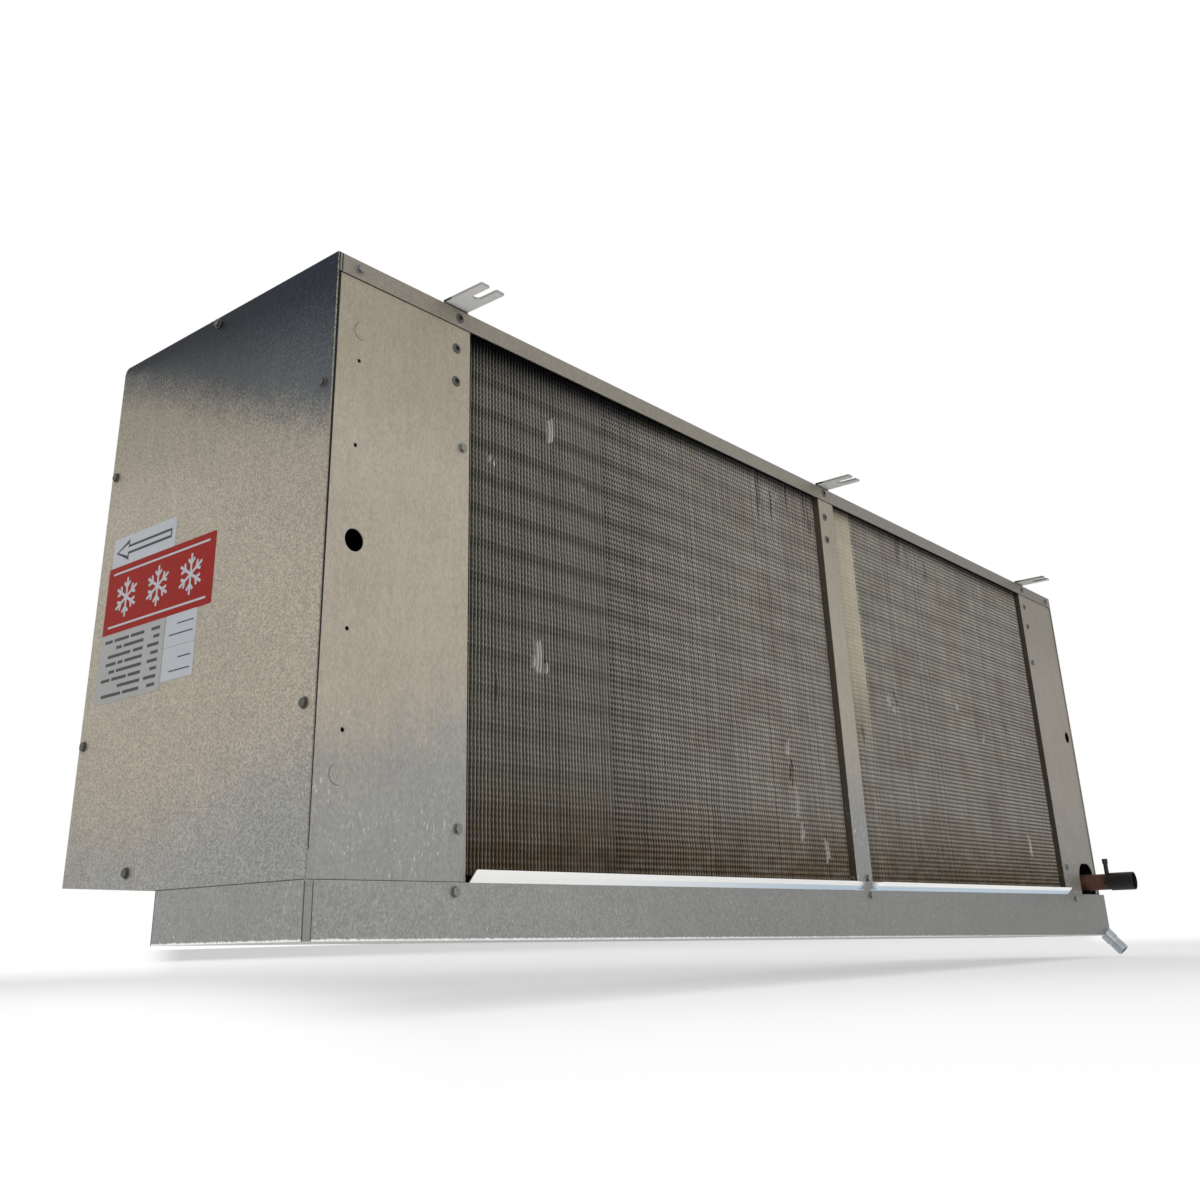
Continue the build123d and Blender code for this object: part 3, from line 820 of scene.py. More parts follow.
def plain_metal(
    name, tint, metallic, roughness, swing=0.4, size=MOTTLE_SIZE, depth=MOTTLE_RELIEF, shine=0.5
):
    """Even metal or coated stock with fine mottling and relief."""
    finish = Finish(name)
    mottle = finish.grain(size, 4)
    cloud = finish.grain(12 * size, 2)
    tone = finish.brighten(tint, finish.swing((mottle, swing), (cloud, swing / 2)))
    rough = finish.scaled(mottle, 0.2, roughness - 0.1)
    return finish.surface(tone, metallic, rough, finish.bump(mottle, depth), shine)


class EVAPORATOR_OT_finish_cabinet(bpy.types.Operator):
    """Give the cabinet, pan and hangers their galvanised finishes"""

    bl_idname = "evaporator.finish_cabinet"
    bl_label = "Finish Cabinet"

    def execute(self, context):
        plain = galvanised()
        for node in (
            "right_end_panel",
            "left_front_panel",
            "right_front_panel",
            "centre_strut",
            "left_tube_sheet",
            "centre_tube_sheet",
            "right_tube_sheet",
            "fan_section_floor",
            "fan_panel",
            "fan_ring_left",
            "fan_ring_right",
            "motor_bracket_left",
            "motor_bracket_right",
        ):
            dress(node, plain)
        dress("top_panel", flange_sheet())
        dress("left_end_panel", reflection_end())
        dress("drain_pan", pan_sheet())
        hanger = hanger_sheet()
        for row in ("front", "rear"):
            for place in ("left", "centre", "right"):
                dress("hanger_" + row + "_" + place, hanger)
        return {"FINISHED"}


# Coil
# Each knock: shares of the coil's length and height, half width in fins, half height in ripples, swing;
# above zero the fins are scraped bright, partly bare metal and partly a painted highlight, and below zero
# they are pressed shut and darkened with painted shade
KNOCK_SHARES = (
    (0.0975, 0.850, 1.4, 3.4, 1.0),
    (0.1020, 0.862, 0.8, 4.6, -0.9),
    (0.0360, 0.735, 0.8, 1.6, 0.5),
    (0.1330, 0.750, 0.9, 2.2, 0.5),
    (0.0830, 0.369, 2.6, 3.0, 1.0),
    (0.0400, 0.300, 1.2, 2.6, -0.4),
    (0.3985, 0.298, 0.8, 3.4, 1.0),
    (0.4025, 0.240, 1.2, 3.2, -1.0),
    (0.4060, 0.225, 0.8, 3.0, 1.0),
    (0.4065, 0.165, 0.7, 3.8, 0.9),
    (0.4110, 0.104, 0.7, 2.8, 1.0),
    (0.4500, 0.063, 0.9, 3.8, 0.9),
    (0.2100, 0.640, 0.9, 1.4, 0.5),
    (0.3050, 0.560, 0.9, 1.2, 0.6),
    (0.7660, 0.510, 1.6, 2.0, 0.6),
    (0.6020, 0.470, 1.0, 1.8, 0.7),
    (0.6120, 0.455, 1.0, 1.6, 0.7),
    (0.6200, 0.480, 1.6, 2.2, -0.5),
    (0.8300, 0.430, 1.3, 1.8, 0.6),
    (0.9200, 0.121, 2.0, 3.6, 0.9),
    (0.3850, 0.915, 1.1, 8.0, -0.7),
    (0.3950, 0.920, 0.8, 7.0, 0.3),
    (0.4040, 0.915, 1.2, 9.0, -0.7),
    (0.4180, 0.930, 0.8, 5.0, 0.35),
    (0.4350, 0.940, 1.2, 5.0, -0.5),
    (0.4660, 0.920, 1.1, 7.0, -0.7),
    (0.4750, 0.905, 1.1, 9.0, -0.6),
    (0.4880, 0.925, 1.4, 5.5, 0.6),
    (0.6650, 0.920, 2.2, 6.0, -0.5),
    (0.6900, 0.910, 1.8, 7.0, -0.5),
    (0.7300, 0.900, 1.6, 5.0, -0.4),
    (0.5420, 0.370, 1.6, 3.0, -0.5),
    (0.9440, 0.453, 2.0, 4.0, -0.5),
    (0.9000, 0.480, 2.0, 3.0, -0.4),
)
# The fins read as plain lines up to this share of the coil's length, and as rows of ripples past it
ROWS_START_SHARE = 0.159
# Where the painted reflection strip stands beside the strut
GLINT_STRIP_SHARE = 0.543
# How fast the fins' sways change along the coil and up it, per metre, and their shares of the pitch
FLUTTER_RATE = 190
DRIFT_RATES = (9, 14)
LOCAL_RATE = 12
DRIFT_SHARE = 0.15
FLUTTER_SHARE = 0.16
LOCAL_SHARE = 0.1
BENT_SHARE = 0.6


def along_coil(share):
    """A place along both coils, by its share of their whole length."""
    return COIL_LOW.x + share * (FAR_COIL_HIGH.x - COIL_LOW.x)


def knocks_on_fin(x, coil):
    """The knocks that reach one fin: centre height, half height and swing of each."""
    found = []
    for number, (along, up, wide, tall, swing) in enumerate(KNOCK_SHARES):
        across = (x - along_coil(along)) / (wide * coil.pitch)
        luck = noise.noise(Vector((x / coil.pitch * 0.71, number * 3.7, 5)))
        if abs(across) < 1 and luck > -0.25:
            centre = COIL_LOW.z + up * (COIL_HIGH.z - COIL_LOW.z) + luck * tall * coil.ripple
            half = tall * coil.ripple * (1 - across * across + luck / 2)
            found.append((centre, max(half, coil.ripple), swing))
    return found


def first_tube(coil):
    """Height of the lowest tube in the coil's front column."""
    span = COIL_HIGH.z - COIL_LOW.z
    rows = floor(span / coil.tube_pitch)
    return COIL_LOW.z + (span - (rows - 1) * coil.tube_pitch) / 2


def bend_fins(fins, count, stray, coil):
    """Give the fins their slight waves, and bend them over where the coil was knocked."""
    mark = fins.data.attributes.new("bent", "FLOAT", "POINT")
    points = fins.data.vertices
    per_fin = len(points) // count
    bend_values = []
    front = COIL_LOW.y + coil.depth / 2
    start = first_tube(coil)
    for number, vertex in enumerate(points):
        point = vertex.co
        if number % per_fin == 0:
            fin_x = point.x
            knocks = knocks_on_fin(fin_x, coil)
            flutter = noise.noise(Vector((fin_x * FLUTTER_RATE, 5, 7)))
        bend = 0
        for centre, half, swing in knocks:
            bend += swing * max(0, 1 - ((point.z - centre) / half) ** 2)
        bend = max(-1, min(1, bend))
        point.x += stray * coil.wave * sin(2 * pi * (point.z - start) / coil.tube_pitch)
        if point.y < front:
            drift = noise.noise(Vector((fin_x * DRIFT_RATES[0], point.z * DRIFT_RATES[1], 3)))
            local = noise.noise(Vector((fin_x * FLUTTER_RATE, point.z * LOCAL_RATE, 9)))
            sway = stray * (drift * DRIFT_SHARE + flutter * FLUTTER_SHARE + local * LOCAL_SHARE)
            point.x += (sway + abs(bend) * BENT_SHARE) * coil.pitch
            point.y += max(0, bend) * coil.pitch / 4
        bend_values.append(bend)
    mark.data.foreach_set("value", bend_values)


def model_fins(first_x, count, ripple_depth, stray, coil):
    """A row of thin upright fins whose edges ripple from side to side."""
    low = Vector((first_x - coil.thickness / 2, COIL_LOW.y, COIL_LOW.z))
    fins = block(low, low + Vector((coil.thickness, coil.depth, coil.ripple)))
    open_edit(fins)
    bpy.ops.mesh.select_all(action="SELECT")
    bpy.ops.mesh.bisect(plane_co=(first_x, COIL_LOW.y, COIL_LOW.z + coil.ripple / 2), plane_no=Z_AXIS)
    bpy.ops.transform.translate(value=(ripple_depth, 0, 0))
    pick(fins, lambda face: abs(face.normal.z) > 0.9)
    bpy.ops.mesh.delete(type="ONLY_FACE")
    close_edit()
    ripples = floor((COIL_HIGH.z - COIL_LOW.z) / coil.ripple)
    repeat(fins, ripples, (0, 0, coil.ripple), merge=True)
    open_edit(fins)
    bpy.ops.mesh.select_all(action="SELECT")
    bpy.ops.mesh.fill_holes(sides=0)
    bpy.ops.mesh.normals_make_consistent(inside=False)
    close_edit()
    repeat(fins, count, (coil.pitch, 0, 0))
    bend_fins(fins, count, stray, coil)
    return fins


# Levels of the fins' finish above the coil's foot, and widths of its patterns
SOIL_TOP = 130 * MM
STRIP_FOOT = 160 * MM
STRIP_TOP = 320 * MM
BAND_FOOT = 120 * MM
BAND_TOP = 380 * MM
FALL_FOOT = 60 * MM
FALL_TOP = 420 * MM
FALL_FULL_X = 300 * MM
ROWS_BLEND = 3 * MM
SIDE_BLEND = 120 * MM
BAND_BLEND = 200 * MM
STRIP_INNER = 27 * MM
STRIP_OUTER = 29 * MM
EDGE_FULL = 0.3 * MM
EDGE_GONE = 1.1 * MM
SIDE_DEPTH = 3 * MM
ALONG_START = 20 * MM
ALONG_END = 160 * MM
BARE_FULL = 0.8 * MM
BARE_THIN = 2.8 * MM
SHADE_DROP = 11 * MM
SHADE_NEAR = 60 * MM
SHADE_FAR = 13 * MM
SHADE_END_SHARE = 0.4
# Widths of the fins' noises
DUST_SIZE = 2.2 * MM
DUST_RELIEF = 0.1 * MM
CORE_LINE = 2 * MM
CORE_RELIEF = 0.3 * MM
SCRAPE_SIZE = 5 * MM
BEAD_SIZE = 7 * MM
RUN_SIZE = 9 * MM
SOIL_SIZE = 26 * MM
WAVER_SIZE = 40 * MM
STAIN_SIZE = 120 * MM


def fin_ripples(finish, coil, depth):
    """The light on the fins' rippled sides, the ripples' ridges and how strongly they show."""
    rows_x = along_coil(ROWS_START_SHARE)
    past = finish.fade(finish.x, rows_x - ROWS_BLEND, rows_x + SIDE_BLEND)
    front_light = finish.scaled(past, 0.45, 0.98)
    back_light = finish.scaled(past, -0.22, 0.55)
    side = finish.fade(depth, EDGE_FULL, SIDE_DEPTH, front_light, back_light)
    rows = finish.fade(finish.x, rows_x - ROWS_BLEND, rows_x + ROWS_BLEND, 0.3, 1)
    rows = finish.math("ADD", rows, finish.fade(finish.x, STRUT_LOW.x, RIGHT_LOW.x, 0, 0.45))
    ridge = finish.fade(finish.apart(finish.cycle(finish.z, coil.ripple, COIL_LOW.z), 0.5), 0.14, 0.4)
    ripple = finish.times(finish.less(ridge, 0.5), 0.85)
    return finish.times(side, finish.scaled(ripple, rows, 1)), ridge, rows


def fin_tubes(finish, coil):
    """The light of the bands where tubes pass behind the fins, and a mask of the painted highlight beads
    along them.
    """
    rows_x = along_coil(ROWS_START_SHARE)
    place = finish.cycle(finish.z, coil.tube_pitch, first_tube(coil) - coil.tube_pitch / 2)
    band = finish.near(finish.ragged(place, WAVER_SIZE, 0.2, 3, (1, 1, 0.4)), 0.5, 0.08, 0.24)
    upper = finish.fade(finish.z, COIL_LOW.z + BAND_FOOT, COIL_LOW.z + BAND_TOP, 0.35, 1)
    near_end = finish.fade(finish.x, rows_x, rows_x + BAND_BLEND, 1, 0.4)
    # Beads: painted highlights along the tube bands
    beads = finish.most(
        finish.near(place, 0.73, 0.01, 0.05), finish.times(finish.near(place, 0.27, 0, 0.05), 0.6)
    )
    beads = finish.times(beads, finish.fade(finish.grain(BEAD_SIZE, 3), 0.38, 0.52))
    return finish.scaled(finish.times(band, near_end, upper), -0.45, 1.08), beads


def fin_tone(finish, coil, patch):
    """The fins' colour, with masks of the soil near the pan and of the pale strip beside the strut, which
    is a painted reflection.
    """
    along = finish.fade(finish.x, COIL_LOW.x + ALONG_START, STRUT_LOW.x - ALONG_END)
    tone = finish.mix(along, coil.near, coil.far)
    stained = finish.fade(finish.grain(STAIN_SIZE, 3, (1, 1, 1.8)), 0.48, 0.68, 0, 0.4)
    tone = finish.mix(finish.times(stained, along), tone, coil.rust)
    low = finish.fade(finish.z, COIL_LOW.z + SOIL_TOP, COIL_LOW.z)
    soiled = finish.times(low, finish.fade(patch, 0.3, 0.62, 0.6, 1))
    tone = finish.mix(soiled, tone, coil.soil)
    strip = finish.near(finish.x, along_coil(GLINT_STRIP_SHARE), STRIP_INNER, STRIP_OUTER)
    strip = finish.times(strip, finish.fade(finish.z, COIL_LOW.z + STRIP_FOOT, COIL_LOW.z + STRIP_TOP))
    return finish.mix(finish.times(strip, 0.9), tone, coil.glint_strip), soiled, strip


def fin_finish():
    """Weathered aluminium: painted highlights on the front edges in rows of ripples, soiled near the pan,
    and bare metal with a painted highlight where bent.
    """
    coil = settings("coil")
    finish = Finish("fin_aluminium")
    depth = finish.less(finish.y, COIL_LOW.y)
    edge = finish.fade(depth, EDGE_GONE, EDGE_FULL)
    bent = finish.add("ShaderNodeAttribute", attribute_name="bent").outputs["Fac"]
    pressed = finish.fade(bent, -0.1, -0.5)
    fin_number = finish.math("FLOOR", finish.math("DIVIDE", finish.x, coil.pitch))
    each = finish.add("ShaderNodeTexWhiteNoise", {"W": fin_number}, noise_dimensions="1D").outputs[0]
    patch = finish.grain(SOIL_SIZE, 4, (1, 1, 2.4))
    cloud = finish.grain(STAIN_SIZE, 2)
    dust = finish.grain(DUST_SIZE, 3)
    streak = finish.grain(RUN_SIZE, 3, (1, 1, 0.15))
    ripple_light, ridge, rows = fin_ripples(finish, coil, depth)
    tube_light, beads = fin_tubes(finish, coil)
    tone, soiled, strip = fin_tone(finish, coil, patch)

    light = finish.swing((each, 0.3), (patch, 0.3), (cloud, 0.3), (dust, 0.6), (streak, 0.3))
    light = finish.times(light, ripple_light, tube_light)
    # The strip beside the strut is brightened as a painted reflection
    light = finish.scaled(finish.times(strip, 0.65), finish.less(1.45, light), light)
    fall = finish.fade(finish.z, COIL_LOW.z + FALL_FOOT, COIL_LOW.z + FALL_TOP, 0.86, 0.97)
    fall = finish.scaled(finish.less(fall, 1), finish.fade(finish.x, STRUT_LOW.x, FALL_FULL_X), 1)
    # Pressed fins are darkened with painted shade
    tone = finish.brighten(tone, finish.times(light, fall, finish.scaled(pressed, -0.42, 1)))

    # Painted highlights on the front edges, on the ripples' ridges and in beads along the tube bands
    glint = finish.times(edge, finish.scaled(ridge, finish.times(rows, 0.4), 0.3))
    glint = finish.most(glint, finish.times(beads, edge))
    glint = finish.times(glint, finish.fade(soiled, 0, 1, 1, 0.4), finish.fade(pressed, 0, 1, 1, 0.5))
    tone = finish.mix(glint, tone, coil.glint)
    # Where fins are bent: bare metal with a painted highlight
    scraped = finish.scaled(finish.grain(SCRAPE_SIZE, 3, (1.3, 1, 0.3)), 1.6, bent)
    bare = finish.times(
        finish.fade(bent, 0.1, 0.4),
        finish.fade(scraped, 1.1, 1.35),
        finish.fade(depth, BARE_THIN, BARE_FULL, 0.45, 0.95),
    )
    tone = finish.mix(bare, tone, coil.bright)
    reach = finish.fade(finish.x, COIL_LOW.x, along_coil(SHADE_END_SHARE), SHADE_NEAR, SHADE_FAR)
    shade = finish.math("DIVIDE", finish.less(COIL_HIGH.z - SHADE_DROP, finish.z), reach)
    tone = finish.mix(finish.fade(shade, 1, 0, 0, 0.93), tone, coil.shade)
    return finish.surface(tone, 0.3, finish.scaled(dust, 0.2, 0.42), finish.bump(dust, DUST_RELIEF))


def core_shade_finish():
    """Painted shade for the depth of the coil: a dark tone with a fine upright grain."""
    finish = Finish("coil_core")
    line = finish.grain(CORE_LINE, 2, (1, 1, 0.04))
    tone = finish.brighten(settings("coil").core, finish.swing((line, 0.7)))
    return finish.surface(tone, 0, 0.8, finish.bump(line, CORE_RELIEF))


def model_tubes(low, high, coil):
    """The coil's front column of tubes, from one tube sheet to the other."""
    deselect_all()
    bpy.ops.mesh.primitive_cylinder_add(
        vertices=12,
        radius=coil.tube_radius,
        depth=high.x - low.x,
        location=((low.x + high.x) / 2, low.y + coil.depth - MM, first_tube(coil)),
        rotation=(0, pi / 2, 0),
    )
    tubes = bpy.context.object
    apply_place()
    repeat(tubes, floor((high.z - low.z) / coil.tube_pitch), (0, 0, coil.tube_pitch))
    bpy.ops.object.shade_smooth_by_angle(angle=radians(40))
    return tubes


def model_core(low, high, coil):
    """The dark block, painted shade for the coil's depth, that fills a coil between its open fins."""
    reach = Vector((0, coil.depth - MM, 0))
    return block(low + reach, high - reach)


def model_rear_fins(low, high, first_x, count, coil):
    """Plain fins on the fan side, where they are seen through the guards."""
    half = coil.thickness / 2
    fins = block(
        Vector((first_x - half, high.y - coil.depth, low.z)), Vector((first_x + half, high.y, high.z))
    )
    repeat(fins, count, (coil.pitch, 0, 0))
    fins.data.attributes.new("bent", "FLOAT", "POINT")
    return fins


class EVAPORATOR_OT_add_coil(bpy.types.Operator):
    """Model the coil's open fins, its front tubes and its dark core, which is painted shade for the coil's
    depth
    """

    bl_idname = "evaporator.add_coil"
    bl_label = "Add Coil"

    def execute(self, context):
        coil = settings("coil")
        skin = fin_finish()
        depth = core_shade_finish()
        copper = plain_metal("tube_copper", settings("pipe").copper, 0.7, 0.5)
        for side, low, high in (
            ("left", COIL_LOW, COIL_HIGH),
            ("right", FAR_COIL_LOW, FAR_COIL_HIGH),
        ):
            total = floor((high.x - low.x) / coil.pitch)
            first = low.x + (high.x - low.x - (total - 1) * coil.pitch) / 2
            near = (total // 2, coil.ripple_depth, 1)
            if side == "left":
                calm = floor((along_coil(ROWS_START_SHARE) - low.x) / coil.pitch)
                near = (calm, coil.calm_ripple, coil.calm_share)
            far = (total - near[0], coil.ripple_depth, 1)
            far_first = first + near[0] * coil.pitch
            for name, start, row in (("near_fins_", first, near), ("far_fins_", far_first, far)):
                settle(coat(model_fins(start, *row, coil), skin), name + side)
            core = coat(model_core(low, high, coil), depth)
            settle(core, "coil_core_" + side, [side + "_fin_pack"])
            rear = coat(model_rear_fins(low, high, first, total, coil), skin)
            settle(rear, "rear_fins_" + side)
            settle(coat(model_tubes(low, high, coil), copper), "front_tubes_" + side)
        return {"FINISHED"}


# Screws and rivets
def model_screw(kit, finish, rim):
    """A hex head on a round washer with a dark rim of painted shadow, pointing up, with its seat at the
    origin.
    """
    deselect_all()
    bpy.ops.mesh.primitive_cylinder_add(
        vertices=16, radius=kit.washer_radius, depth=kit.washer_rise, location=(0, 0, kit.washer_rise / 2)
    )
    screw = bpy.context.object
    open_edit(screw)
    pick(screw, lambda face: face.normal.z > 0.9)
    bpy.ops.mesh.inset(thickness=kit.washer_rise / 2, depth=kit.washer_rise / 3)
    bpy.ops.mesh.select_all(action="DESELECT")
    bpy.ops.mesh.primitive_cylinder_add(
        vertices=6,
        radius=kit.hex_radius,
        depth=kit.head_rise,
        location=(0, 0, kit.washer_rise + kit.head_rise / 2),
    )
    top = kit.washer_rise + 0.9 * kit.head_rise
    pick(screw, lambda face: face.normal.z > 0.9 and face.calc_center_median().z > top)
    bpy.ops.mesh.inset(thickness=kit.hex_radius / 6, depth=kit.head_rise / 8)
    bpy.ops.mesh.inset(thickness=kit.hex_radius / 5, depth=0)
    bpy.ops.mesh.inset(thickness=kit.hex_radius / 8, depth=-kit.head_rise / 5)
    rim_radius = 0.85 * kit.washer_radius
    # The rim round the washer takes the second material, a painted shadow
    tell_apart(screw, lambda at: at.xy.length > rim_radius and at.z < 1.5 * kit.washer_rise)
    close_edit()
    return coat(screw, finish, rim)


def model_rivet(kit, finish, hollow):
    """A blind rivet: a low dome with a hollow middle."""
    deselect_all()
    base = kit.rivet_rise / 3
    bpy.ops.mesh.primitive_cylinder_add(
        vertices=16, radius=kit.rivet_radius, depth=base, location=(0, 0, base / 2)
    )
    rivet = coat(bpy.context.object, finish, hollow)
    open_edit(rivet)
    pick(rivet, lambda face: face.normal.z > 0.9)
    step = kit.rivet_radius / 5
    bpy.ops.mesh.inset(thickness=step / 2, depth=base)
    bpy.ops.mesh.inset(thickness=step, depth=0.7 * base)
    bpy.ops.mesh.inset(thickness=step, depth=0.3 * base)
    bpy.ops.mesh.inset(thickness=step / 4, depth=-2 * base)
    # The hollow middle takes the second material, painted shade
    tell_apart(rivet, lambda at: at.xy.length < 2.4 * step and at.z < 2.2 * base)
    close_edit()
    bpy.ops.object.shade_smooth_by_angle(angle=radians(50))
    return rivet


def on_front(along_share, down_share, y=None):
    """A point on the front, by shares of the cabinet's length and height."""
    return Vector(
        (
            CABINET_LEFT + along_share * CABINET_LENGTH,
            CABINET_FRONT if y is None else y,
            CABINET_TOP - down_share * CABINET_HEIGHT,
        )
    )


def front_places(shares, y=None):
    """Points on the front, each with the way out of it."""
    return [(on_front(along, down, y), -Y_AXIS) for along, down in shares]


def on_end(depth_share, down_share, x):
    """A point on an end, by shares of its depth and height."""
    y = CABINET_FRONT + depth_share * CABINET_DEPTH
    return Vector((x, y, CABINET_TOP - down_share * CABINET_HEIGHT))


END_SCREW_SHARES = (
    (0.519, 0.012),
    (0.976, 0.236),
    (0.035, 0.236),
    (0.976, 0.747),
    (0.035, 0.754),
    (0.697, 0.969),
)
FLANGE_SCREW_SHARES = ((0.0147, 0.015), (0.989, 0.016))
FLANGE_RIVET_SHARES = ((0.0879, 0.017), (0.5016, 0.0136), (0.9205, 0.0153))
PANEL_RIVET_SHARES = ((0.0863, 0.080), (0.0863, 0.146), (0.922, 0.0746), (0.9229, 0.142))
PANEL_SCREW_SHARES = ((0.0916, 0.271), (0.0911, 0.920), (0.9205, 0.267), (0.922, 0.919))
STRUT_RIVET_SHARES = ((0.5003, 0.080), (0.5003, 0.142))
STRUT_SCREW_SHARES = ((0.508, 0.973),)
PAN_SCREW_SHARES = ((0.0889, 1.0136), (0.5084, 1.0102), (0.929, 1.0136))
FAN_PANEL_SCREW_SHARES = (0.02, 0.2, 0.4, 0.6, 0.8, 0.98)
RING_SCREWS = 8
PLATED_MOTTLE = 2 * MM


def fan_panel_places(inset):
    """Where screws hold the fan panel by its edges, and the rings on it."""
    low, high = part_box("fan_panel")
    places = []
    for share in FAN_PANEL_SCREW_SHARES:
        x = low.x + share * (high.x - low.x)
        places.append((Vector((x, CABINET_REAR, CABINET_TOP - inset)), Y_AXIS))
        places.append((Vector((x, high.y, low.z + inset)), Y_AXIS))
    for side in ("left", "right"):
        ring_low, ring_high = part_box("fan_ring_" + side)
        centre = (ring_low + ring_high) / 2
        radius = (ring_high.x - ring_low.x) / 2 - inset
        for step in range(RING_SCREWS):
            turn = (step + 0.5) * 2 * pi / RING_SCREWS
            across = Vector((radius * cos(turn), 0, radius * sin(turn)))
            places.append((Vector((centre.x, high.y + SHEET, centre.z)) + across, Y_AXIS))
    return places


class EVAPORATOR_OT_add_fasteners(bpy.types.Operator):
    """Put the screws and rivets on the cabinet, pan and fan panel"""

    bl_idname = "evaporator.add_fasteners"
    bl_label = "Add Fasteners"

    def execute(self, context):
        kit = settings("fastener")
        bright = plain_metal("plated_steel", kit.zinc, 0.6, 0.3, 0.9, PLATED_MOTTLE)
        dark = plain_metal("weathered_steel", kit.dark, 0.4, 0.5)
        # Dark colour for painted shade in rivet holes and round screw washers
        hollow = plain_metal("rivet_hollow", kit.hole, 0, 0.8)
        inner_y = CABINET_FRONT + SHEET

        def screws(name, places, finish=bright):
            settle(spread(model_screw(kit, finish, hollow), places), name)

        def rivets(name, places):
            settle(spread(model_rivet(kit, dark, hollow), places), name)

        for name, x, way in (("left", CABINET_LEFT, -X_AXIS), ("right", CABINET_RIGHT, X_AXIS)):
            places = [(on_end(depth, down, x), way) for depth, down in END_SCREW_SHARES]
            screws(name + "_end_screws", places, dark)
        screws("flange_screws", front_places(FLANGE_SCREW_SHARES))
        screws("pan_screws", front_places(PAN_SCREW_SHARES))
        screws("panel_screws", front_places(PANEL_SCREW_SHARES + STRUT_SCREW_SHARES, inner_y))
        rivets("flange_rivets", front_places(FLANGE_RIVET_SHARES))
        rivets("panel_rivets", front_places(PANEL_RIVET_SHARES + STRUT_RIVET_SHARES, inner_y))
        screws("fan_panel_screws", fan_panel_places(1.7 * kit.washer_radius))
        return {"FINISHED"}


# Knock-outs and seams
KNOCKOUT_SHARES = ((0.0184, 0.129), (0.0158, 0.854))
KNOCKOUT_RADIUS = 9.4 * MM
# The way along the sheet in which a knock-out's ring has lost its outer part
KNOCKOUT_OPEN = Vector((0.94, 0.34, 0))
TAB_WIDTH = 8 * MM
TAB_RISE = 0.7 * MM
TAB_SINK = 0.3 * MM
TAB_PROUD = 0.4 * MM
TAB_DENT = 0.5 * MM
TAB_SWAY = 0.6 * MM
TAB_EDGE = 0.6 * MM


def model_knockout(finish):
    """The part of a knock-out's scored ring that still stands out."""
    deselect_all()
    radius = KNOCKOUT_RADIUS
    bpy.ops.mesh.primitive_torus_add(
        major_radius=radius, minor_radius=radius / 30, major_segments=40, minor_segments=6
    )
    ring = bpy.context.object
    open_edit(ring)
    pick(ring, lambda face: face.calc_center_median().dot(KNOCKOUT_OPEN) > -radius / 6)
    bpy.ops.mesh.delete(type="FACE")
    bpy.ops.mesh.select_all(action="SELECT")
    bpy.ops.mesh.fill_holes(sides=0)
    close_edit()
    bpy.ops.object.shade_smooth_by_angle(angle=radians(50))
    return coat(ring, finish)


def strip(low, high, finish, foot=1):
    """A thin strip between two corners, its right edge drawn in towards its foot."""
    line = block(Vector(low), Vector(high))
    if foot != 1:
        subdivide(line, 3)
    for vertex in line.data.vertices:
        fall = (high[2] - vertex.co.z) / (high[2] - low[2])
        vertex.co.x = low[0] + (vertex.co.x - low[0]) * (1 - (1 - foot) * fall)
    round_edges(line, min(line.dimensions) / 5)
    return coat(line, finish)


def model_pan_tab(sheet, finish, dark):
    """The pan's folded corner: a dented tab with dark edges."""
    front = CABINET_FRONT - TAB_RISE
    high_z = CABINET_BASE - MM
    tab = block(
        Vector((CABINET_LEFT - TAB_PROUD, front, PAN_LEFT_FOOT)),
        Vector((CABINET_LEFT + TAB_WIDTH, CABINET_FRONT + TAB_SINK, high_z)),
    )
    subdivide(tab, 7)
    for vertex in tab.data.vertices:
        point = vertex.co
        if point.y < front + MM / 10:
            point.y += TAB_DENT * max(0, noise.noise(point * 140))
            point.x += TAB_SWAY * noise.noise(point * 90)
    pieces = [coat(tab, finish)]
    for edge_x in (CABINET_LEFT - TAB_EDGE, CABINET_LEFT + TAB_WIDTH):
        low = (edge_x, front - MM / 5, PAN_LEFT_FOOT)
        pieces.append(strip(low, (edge_x + sheet.bead, CABINET_FRONT, high_z), dark))
    return join(pieces)


SEAM_RISE = 0.15 * MM
SEAM_FOOT = 24 * MM
FLANGE_LIP = 3 * MM


def model_gap_shade_strips(sheet, finish):
    """Dark strips of painted shade: in the gap beside the plain end, the two lines over it, and a painted
    shadow under the flange.
    """
    inner_y = CABINET_FRONT + SHEET
    flange_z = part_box("hanger_front_left")[0].z - FLANGE_LIP
    # Each line: its ends as shares of the gap, its y, its lower and upper ends, and its foot's width
    upright = (
        ((0, 1), inner_y, CABINET_BASE + SEAM_FOOT, flange_z, 0.45),
        ((0, 0.3), CABINET_FRONT, flange_z, CABINET_TOP, 1),
        ((0.8, 1.1), CABINET_FRONT, flange_z, CABINET_TOP, 1),
    )
    lines = [
        strip(
            (LEFT_LOW.x + start * sheet.gap, y - SEAM_RISE, low_z),
            (LEFT_LOW.x + end * sheet.gap, y + SEAM_RISE, high_z),
            finish,
            foot,
        )
        for (start, end), y, low_z, high_z, foot in upright
    ]
    # The painted shadow under the flange
    lines.append(
        strip(
            (LEFT_LOW.x, inner_y - SEAM_RISE, flange_z - sheet.bead),
            (RIGHT_HIGH.x, inner_y + SEAM_RISE, flange_z),
            finish,
        )
    )
    return join(lines)


